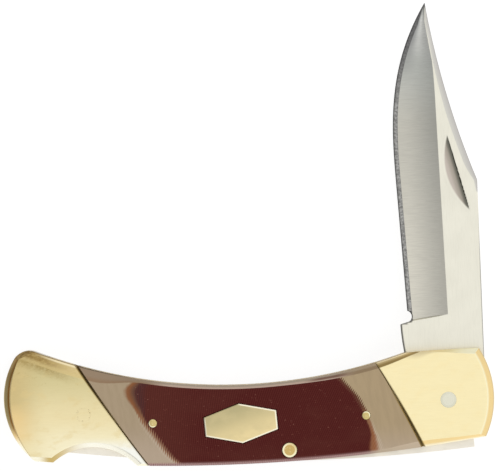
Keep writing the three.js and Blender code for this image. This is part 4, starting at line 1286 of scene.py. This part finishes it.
def scale_resin(name, look):
    """Polished linen laminate: a burgundy field with fine slanted ribs and scattered specks, which
    turns through brown and combed streaks to tan at both ends. How far a point lies inside each
    slanted boundary, over the boundary's width, gives its share of the field."""
    material, s = new_material(name)
    x, y, _ = s.axes(s.place())
    share, on = bevel_masks(s)
    ribs = (x - y * (0.1 + x.ramp(-70.0, -30.0) * 0.36)).stripes(0.56)
    weft = (y + x * 0.12).stripes(0.5)
    ragged = s.noise((0.7, 0.7, 0.3), 2.0, 0.6) - 0.5
    slow = s.noise((0.09, 0.2, 0.1))
    fleck = s.noise((2.6, 2.6, 1.0), 2.0, 0.8)
    grain = s.noise((0.9, 0.16, 0.2), 2.0, 0.6, math.radians(12))
    combed = y.ramp(-1.0, -8.0)
    upper = y.ramp(-6.0, 0.0) * x.ramp(-50.0, -60.0)
    above = (y - 1.0).most(0.0)
    left = x + 80.95 + y * 0.4 - (-5.8 - y).most(0.0) * 0.38 - (-14.6 - y).most(0.0) * 0.4
    left = left - above * above * 0.25 + ragged * 0.6 + (ribs - 0.5) * 1.1 * combed
    left = left / (1.3 + y.ramp(-5.5, 2.0) * 2.5) + 0.5
    right = -22.5 - y * 0.556 - (-2.7 - y).most(0.0) * 0.16 - (-9.9 - y).most(0.0) * 0.16
    right = right - (y - 0.9).most(0.0) * 0.39 - x + ragged * 0.5
    right = (right + (ribs - 0.5) * y.ramp(-5.0, 0.0)) / (1.2 + y.ramp(-7.0, -13.0) * 1.6)
    mix = left.least(right)
    field = (mix + upper * 0.3).ramp(0.35, 1.05)
    fringe = (mix + upper * 0.12).ramp(-0.05, 0.3) * (mix + upper * 0.3).ramp(1.2, 0.6)
    tips = mix.ramp(-0.5, -0.1) * mix.ramp(0.5, 0.1) * ribs * y.ramp(-4.0, -8.0)
    inner = left.ramp(1.6, 0.9) * y.ramp(-9.0, -2.0)
    red = s.layers(
        look.burgundy_brown,
        (x.ramp(-76.0, -60.0), look.burgundy),
        (slow.ramp(0.45, 0.7) * 0.5, look.burgundy_brown),
        (inner * 0.8, (70, 44, 44)),
        (ribs * 0.42 + weft * 0.1, (110, 53, 46)),
        (fleck.ramp(0.64, 0.72) * 0.6, (150, 88, 72)),
        ((fleck + inner * 0.04).ramp(0.72, 0.78) * 0.7, (206, 170, 150)),
    )
    tan = s.layers(
        look.tan_left,
        (x.ramp(-80.0, -30.0), look.tan_right),
        (grain.ramp(0.35, 0.65) * 0.2, (158, 138, 110)),
        (y.ramp(-5.0, -15.0) * 0.65, (198, 178, 158)),
    )
    brown = s.layers(
        look.fringe,
        (y.ramp(-2.0, -8.0), (150, 104, 76)),
        (x.ramp(-50.0, -40.0) * y.ramp(-5.0, -9.0), (152, 92, 56)),
        (left.ramp(0.15, 0.65) * y.ramp(-5.0, -1.0) * 0.9, (96, 56, 44)),
    )
    dots = s.layers(
        (196, 160, 156), (ribs * 0.7, (150, 104, 100)), (x.ramp(-22.0, -17.0), (214, 194, 168))
    )
    facet = share.ramp(1.0, 0.95)
    seam = arc_distance(x, y, SCALE_FRONT_END).absolute().ramp(0.34, 0.12)
    tone = s.layers(
        tan,
        (field, red),
        (fringe * (1.0 - 0.25 * combed * (1.0 - ribs)), brown),
        (tips * 0.5, (214, 196, 176)),
        (facet * on("belly"), scale_bands(s, x, share)),
        (arc_distance(x, y, BACK).ramp(-1.15, -0.55) * 0.45, dots),
        (facet * on("back"), dots),
        (seam * y.ramp(5.0, -3.0) * 0.85, (146, 116, 42)),
    )
    fixed = {"Metallic": 0.0, "Specular IOR Level": 0.06, "Coat Roughness": 0.15}
    height = (ribs * 0.7 + weft * 0.3) * field + grain * (1.0 - field) * 0.5
    s.surface(fixed, tone, 0.42 + 0.08 * grain, height, 0.006, 0.35, Coat_Weight=0.03 * field)
    return material


def floor_finish():
    """White paper: a pale sheet with a light of its own where the camera sees it, directly or in
    metal or glass, so that it stays white and keeps the knife's soft shadow."""
    material, s = new_material("white_paper")
    kinds = ("Is Camera Ray", "Is Glossy Ray", "Is Transmission Ray")
    camera, glossy, through = (s.add("ShaderNodeLightPath", out=kind) for kind in kinds)
    seen = camera.most(glossy).most(through)
    paper = s.add("ShaderNodeBsdfDiffuse", None, {"Color": (0.3, 0.3, 0.3, 1.0)})
    glow = s.add("ShaderNodeEmission", None, {"Color": (1.0, 1.0, 1.0, 1.0), "Strength": seen * 0.83})
    both = s.add("ShaderNodeAddShader", None, {0: paper, 1: glow})
    s.add("ShaderNodeOutputMaterial", None, {"Surface": both})
    return material


# Settings that a user would change


def colour(name, description, *levels):
    """A colour that a user can change, with its default in screen levels."""
    return bpy.props.FloatVectorProperty(
        name=name, description=description, subtype="COLOR", default=linear(*levels)
    )


def number(name, description, default, unit="NONE", **limits):
    """A size or a strength that a user can change."""
    return bpy.props.FloatProperty(
        name=name, description=description, default=default, unit=unit, **limits
    )


class KnifeLooks(bpy.types.PropertyGroup):
    """Colours of the knife's finishes"""

    pale: colour("Pale brass", "Brightest tone of the bolsters", 255, 241, 192)
    mid: colour("Middle brass", "Smudged tone of the bolsters", 255, 238, 184)
    # Painted shade on the rear bolster's bevel at the heel
    heel_bevel_shade: colour("Tarnished brass", "Bevel at the heel of the rear bolster", 158, 130, 78)
    # Painted shade: the bevels' tone, darker and more golden than the flats
    golden: colour("Golden brass", "Tone of the bolsters' bevels", 246, 218, 156)
    flat: colour("Blade flat", "Tone of the blade's flats", 241, 238, 223)
    # The two hollow tones are the ends of the painted light and shade across the hollow grind
    hollow_low: colour("Hollow, lighter", "Hollow grind near the choil and edge", 221, 217, 204)
    hollow_high: colour("Hollow, darker", "Hollow grind near the tip and grind line", 178, 177, 169)
    edge: colour("Sharpened edge", "Dark tone of the mottled edge bevel", 150, 149, 146)
    burgundy: colour("Burgundy", "Field of the scales", 73, 15, 14)
    burgundy_brown: colour("Brown burgundy", "Browner parts of the field", 84, 36, 28)
    tan_left: colour("Tan, rear", "Rear end of the scales", 182, 162, 134)
    tan_right: colour("Tan, front", "Front end of the scales", 186, 164, 130)
    fringe: colour("Fringe", "Streaks between the field and the tan ends", 146, 96, 62)


class KnifeStage(bpy.types.PropertyGroup):
    """Sizes of the stage"""

    floor: number("Floor", "Half the width of the floor", 8.0, "LENGTH")
    lens: number("Lens", "Focal length in millimetres", 600.0)
    view_width: number("View width", "Width of the picture at the knife", 0.129, "LENGTH")
    light: number("Light", "Brightness straight above", 1.0, min=0.0)


# Operators


class KNIFE_OT_bolsters(bpy.types.Operator):
    """The four brass bolsters, drilled for their pins"""

    bl_idname = "knife.bolsters"
    bl_label = "Bolsters"

    def execute(self, context):
        look = context.scene.knife_looks
        for end, path, hole in (
            ("front", FRONT_BOLSTER_PATH, (PIVOT, PIVOT_RADIUS + 0.01)),
            ("rear", REAR_BOLSTER_PATH, (BUTT_PIN, BUTT_PIN_RADIUS + 0.005)),
        ):
            material = bolster_brass(f"{end}_bolster_brass", look, end == "rear")
            low, high = UPPER_LINER[1], TOP
            rings, shade_marks = side_wall(path, low, high)
            drilled = [round_hole(*hole, low, high, 0.005)]
            for side in ("upper", "lower"):
                node = f"{end}_bolster_{side}"
                made = plate(node + "_brass", rings, drilled, side == "lower", shade_marks)
                finish_piece(made, material, "handle", node)
        return {"FINISHED"}


class KNIFE_OT_scales(bpy.types.Operator):
    """The two resin scales, the upper one with the shield's recess"""

    bl_idname = "knife.scales"
    bl_label = "Scales"

    def execute(self, context):
        look = context.scene.knife_looks
        low, high = UPPER_LINER[1], TOP
        rings, shade_marks = side_wall(SCALE_PATH, low, high)
        radius, edge = LOCK_PIN_RADIUS + 0.14, 0.08
        holes = [round_hole(LOCK_PIN, radius, low, high, edge)]
        make_way(rings, LOCK_PIN, radius + edge + HOLE_MARGIN, low, high)
        for ring in holes[0][2:]:
            follow_bevel(ring, low, high)
        for centre in SCALE_PINS.values():
            holes.append(round_hole(centre, SCALE_PIN_RADIUS + 0.04, low, high, 0.05, steps=48))
        for side in ("upper", "lower"):
            upper = side == "upper"
            cut = holes + [shield_recess(high - SHIELD_DEPTH, high)] if upper else holes
            material = scale_resin(f"scale_resin_{side}", look)
            node = f"scale_{side}"
            made = plate(node + "_resin", rings, cut, not upper, shade_marks)
            finish_piece(made, material, "handle", node)
        return {"FINISHED"}


class KNIFE_OT_shield(bpy.types.Operator):
    """The six-sided brass shield"""

    bl_idname = "knife.shield"
    bl_label = "Shield"

    def execute(self, context):
        low, high = TOP - SHIELD_DEPTH + 0.01, TOP + 0.04
        table = [
            (low, -0.05), (low + 0.05, 0.0), (high - 0.4, 0.0), (high - 0.26, -0.01),
            (high - 0.2, -0.05), (high - 0.06, -0.25), (high - 0.015, -0.34), (high, -0.42), (high, -0.6),
        ]
        made = plate("shield_brass", stack(shield_ring, table))
        finish_piece(made, shield_brass("shield_brass"), "handle", "shield")
        return {"FINISHED"}


class KNIFE_OT_liners(bpy.types.Operator):
    """The two brass liners, with the handle's full outline"""

    bl_idname = "knife.liners"
    bl_label = "Liners"

    def execute(self, context):
        material = plain_metal("liner_brass", (226, 202, 142), (190, 162, 104), 0.3, joints=True)
        holes = [
            (PIVOT, PIVOT_RADIUS), (LOCK_PIN, LOCK_PIN_RADIUS), (BUTT_PIN, BUTT_PIN_RADIUS),
            (SPRING_PIN, SPRING_PIN_RADIUS), *((c, SCALE_PIN_RADIUS) for c in SCALE_PINS.values()),
        ]
        for side, (low, high) in (("lower", LOWER_LINER), ("upper", UPPER_LINER)):
            table = [
                (low, 0.2), (low, 0.05), (low + 0.02, 0.015), (low + 0.05, 0.0), (low + 0.2, 0.0),
                (high - 0.2, 0.0), (high - 0.05, 0.0), (high - 0.02, 0.015), (high, 0.05), (high, 0.2),
            ]
            rings = stack(lambda edge: outline(HANDLE_PATH, edge=edge), table)
            drilled = [lifted([circle(c, r + 0.02, 40)] * 2, [low, high]) for c, r in holes]
            made = plate(f"liner_{side}_brass", rings, drilled)
            finish_piece(made, material, "handle", f"liner_{side}")
        return {"FINISHED"}


class KNIFE_OT_pins(bpy.types.Operator):
    """Pivot, lock, butt, spring and scale pins"""

    bl_idname = "knife.pins"
    bl_label = "Pins"

    def execute(self, context):
        look = context.scene.knife_looks
        steel_tones = ((229, 227, 208), (221, 219, 198))
        made = pin("pivot_pin_steel", PIVOT, PIVOT_RADIUS, FLOOR, TOP, 0.01)
        metal = pin_metal("pivot_steel", PIVOT, PIVOT_RADIUS, *steel_tones)
        finish_piece(made, metal, "handle", "pivot_pin")
        made = pin("lock_bar_pin_brass", LOCK_PIN, LOCK_PIN_RADIUS, FLOOR, TOP, 0.1, 0.05)
        metal = pin_metal("lock_pin_brass", LOCK_PIN, LOCK_PIN_RADIUS, (206, 176, 108), (255, 246, 206))
        finish_piece(made, metal, "handle", "lock_bar_pin")
        made = pin("butt_pin_brass", BUTT_PIN, BUTT_PIN_RADIUS, FLOOR, TOP, 0.004)
        store(made.data, "bevel", np.ones(len(made.data.vertices)))
        metal = bolster_brass("butt_pin_brass", look, True)
        finish_piece(made, metal, "handle", "butt_pin")
        inner = frame_levels("spring_pin")
        made = pin("spring_pin_steel", SPRING_PIN, SPRING_PIN_RADIUS, *inner, 0.1)
        metal = pin_metal("spring_pin_steel", SPRING_PIN, SPRING_PIN_RADIUS, *steel_tones)
        finish_piece(made, metal, "handle", "spring_pin")
        for place, centre in SCALE_PINS.items():
            lit = (-0.6, -0.8) if place == "rear" else (0.5, 0.85)
            tones = ((208, 188, 126), (255, 248, 210))
            metal = pin_metal(
                f"scale_pin_brass_{place}", centre, SCALE_PIN_RADIUS, *tones, (*lit, -0.1, 0.5)
            )
            for side in ("upper", "lower"):
                node = f"scale_pin_{side}_{place}"
                low, high = frame_levels(node)
                dome = 0.12 if side == "upper" else 0.0
                made = pin(node + "_brass", centre, SCALE_PIN_RADIUS, low, high, 0.12, dome)
                finish_piece(made, metal, "handle", node)
        return {"FINISHED"}


class KNIFE_OT_blade(bpy.types.Operator):
    """The hollow-ground blade with its tang and nail nick"""

    bl_idname = "knife.blade"
    bl_label = "Blade"

    def execute(self, context):
        made = blade_mesh("blade_ground")
        material = blade_steel("blade_steel", context.scene.knife_looks)
        finish_piece(made, material, "blade", "blade")
        return {"FINISHED"}


def finished_copy(node, name, edge):
    """A copy of one of the frame's pieces, merged, with its edges broken by a small round bevel.
    Points that agree to a ten-thousandth of a millimetre become one."""
    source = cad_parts[node].data
    points = np.zeros(len(source.vertices) * 3, np.float32)
    source.vertices.foreach_get("co", points)
    triangles = np.array([list(face.vertices) for face in source.polygons])
    kept, index = np.unique(np.round(points.reshape(-1, 3), 7), axis=0, return_inverse=True)
    merged = bpy.data.meshes.new(name)
    merged.from_pydata(kept.tolist(), [], index.reshape(-1)[triangles].tolist())
    merged.validate()
    piece = bpy.data.objects.new(name, merged)
    bpy.context.scene.collection.objects.link(piece)
    smooth(piece, 30)
    bevel = piece.modifiers.new("broken edges", "BEVEL")
    bevel.width = edge * MM
    bevel.segments = 3
    bevel.limit_method = "ANGLE"
    bevel.angle_limit = math.radians(40)
    bevel.harden_normals = True
    return piece


class KNIFE_OT_lock(bpy.types.Operator):
    """The lock bar, and the back spring whose finger bends with it"""

    bl_idname = "knife.lock"
    bl_label = "Lock bar and spring"

    def execute(self, context):
        tones = ((248, 242, 228), (229, 223, 211))
        bar_steel = plain_metal("lock_bar_steel", *tones, 0.26, (0.35, 7.0, 3.0), -0.05)
        bar = finished_copy("lock_bar", "lock_bar_steel", 0.14)
        finish_piece(bar, bar_steel, "lock_bar", "lock_bar")
        tones = ((214, 212, 204), (184, 182, 174))
        spring_steel = plain_metal("back_spring_steel", *tones, 0.32, (0.5, 5.0, 2.0))
        spring = finished_copy("back_spring", "back_spring_steel", 0.05)
        finish_piece(spring, spring_steel, None, "back_spring")
        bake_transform(spring)
        return {"FINISHED"}


class KNIFE_OT_stage(bpy.types.Operator):
    """White floor, soft sky and the camera above the knife"""

    bl_idname = "knife.stage"
    bl_label = "Stage"

    def execute(self, context):
        stage = context.scene.knife_stage
        half = stage.floor / MM
        corners = np.array([[-half, -half, 0], [half, -half, 0], [half, half, 0], [-half, half, 0]])
        floor = new_object("floor", corners, [np.array([[0, 1, 2, 3]])])
        floor.data.materials.append(floor_finish())
        self.sky(context.scene, stage.light)
        self.camera(context.scene, stage)
        context.scene.view_settings.view_transform = "Standard"
        return {"FINISHED"}

    def sky(self, scene, light):
        """Soft light from all round: full above and to the right, dim to the left, and a little
        dimmer low down behind the handle's concave side."""
        world = bpy.data.worlds.new("studio")
        scene.world = world
        s = Shader(world)
        x, y, z = s.axes(s.add("ShaderNodeTexCoord", out="Generated"))
        left, top, low = x.ramp(-0.05, -0.75), y.ramp(0.05, 0.85), 1.0 - z.ramp(0.0, 0.5)
        strength = light * (1.0 - 0.62 * left) * (1.0 - 0.3 * top * low)
        sky = s.add("ShaderNodeBackground", None, {"Color": (1.0, 1.0, 1.0, 1.0), "Strength": strength})
        s.add("ShaderNodeOutputWorld", None, {"Surface": sky})

    def camera(self, scene, stage):
        """A long lens straight above the knife, framed on the photograph's centre."""
        data = bpy.data.cameras.new("camera")
        data.lens = stage.lens
        data.sensor_width = 36.0
        distance = stage.view_width * data.lens / data.sensor_width
        data.clip_start = 0.01
        data.clip_end = 20.0
        camera = bpy.data.objects.new("camera", data)
        scene.collection.objects.link(camera)
        camera.location = (PICTURE_CENTRE[0] * MM, PICTURE_CENTRE[1] * MM, distance + PICTURE_LEVEL * MM)
        scene.camera = camera


class KNIFE_PT_panel(bpy.types.Panel):
    """The knife's pieces and settings"""

    bl_label = "Folding knife"
    bl_idname = "KNIFE_PT_panel"
    bl_space_type = "VIEW_3D"
    bl_region_type = "UI"
    bl_category = "Knife"

    def draw(self, context):
        for operator in OPERATORS:
            self.layout.operator(operator.bl_idname)
        for group in (context.scene.knife_looks, context.scene.knife_stage):
            column = self.layout.column(align=True)
            for key in group.__annotations__:
                column.prop(group, key)


OPERATORS = (
    KNIFE_OT_stage,
    KNIFE_OT_bolsters,
    KNIFE_OT_scales,
    KNIFE_OT_shield,
    KNIFE_OT_liners,
    KNIFE_OT_pins,
    KNIFE_OT_blade,
    KNIFE_OT_lock,
)
CLASSES = (KnifeLooks, KnifeStage, *OPERATORS, KNIFE_PT_panel)


def register():
    """Registers the classes and hangs the settings on the scene."""
    for item in CLASSES:
        bpy.utils.register_class(item)
    bpy.types.Scene.knife_looks = bpy.props.PointerProperty(type=KnifeLooks)
    bpy.types.Scene.knife_stage = bpy.props.PointerProperty(type=KnifeStage)


def unregister():
    """Takes the settings and classes away again."""
    del bpy.types.Scene.knife_stage
    del bpy.types.Scene.knife_looks
    for item in reversed(CLASSES):
        bpy.utils.unregister_class(item)


def main():
    """Builds the whole scene."""
    register()
    bpy.ops.knife.stage()
    bpy.ops.knife.bolsters()
    bpy.ops.knife.scales()
    bpy.ops.knife.shield()
    bpy.ops.knife.liners()
    bpy.ops.knife.pins()
    bpy.ops.knife.blade()
    bpy.ops.knife.lock()


if __name__ == "__main__":
    main()
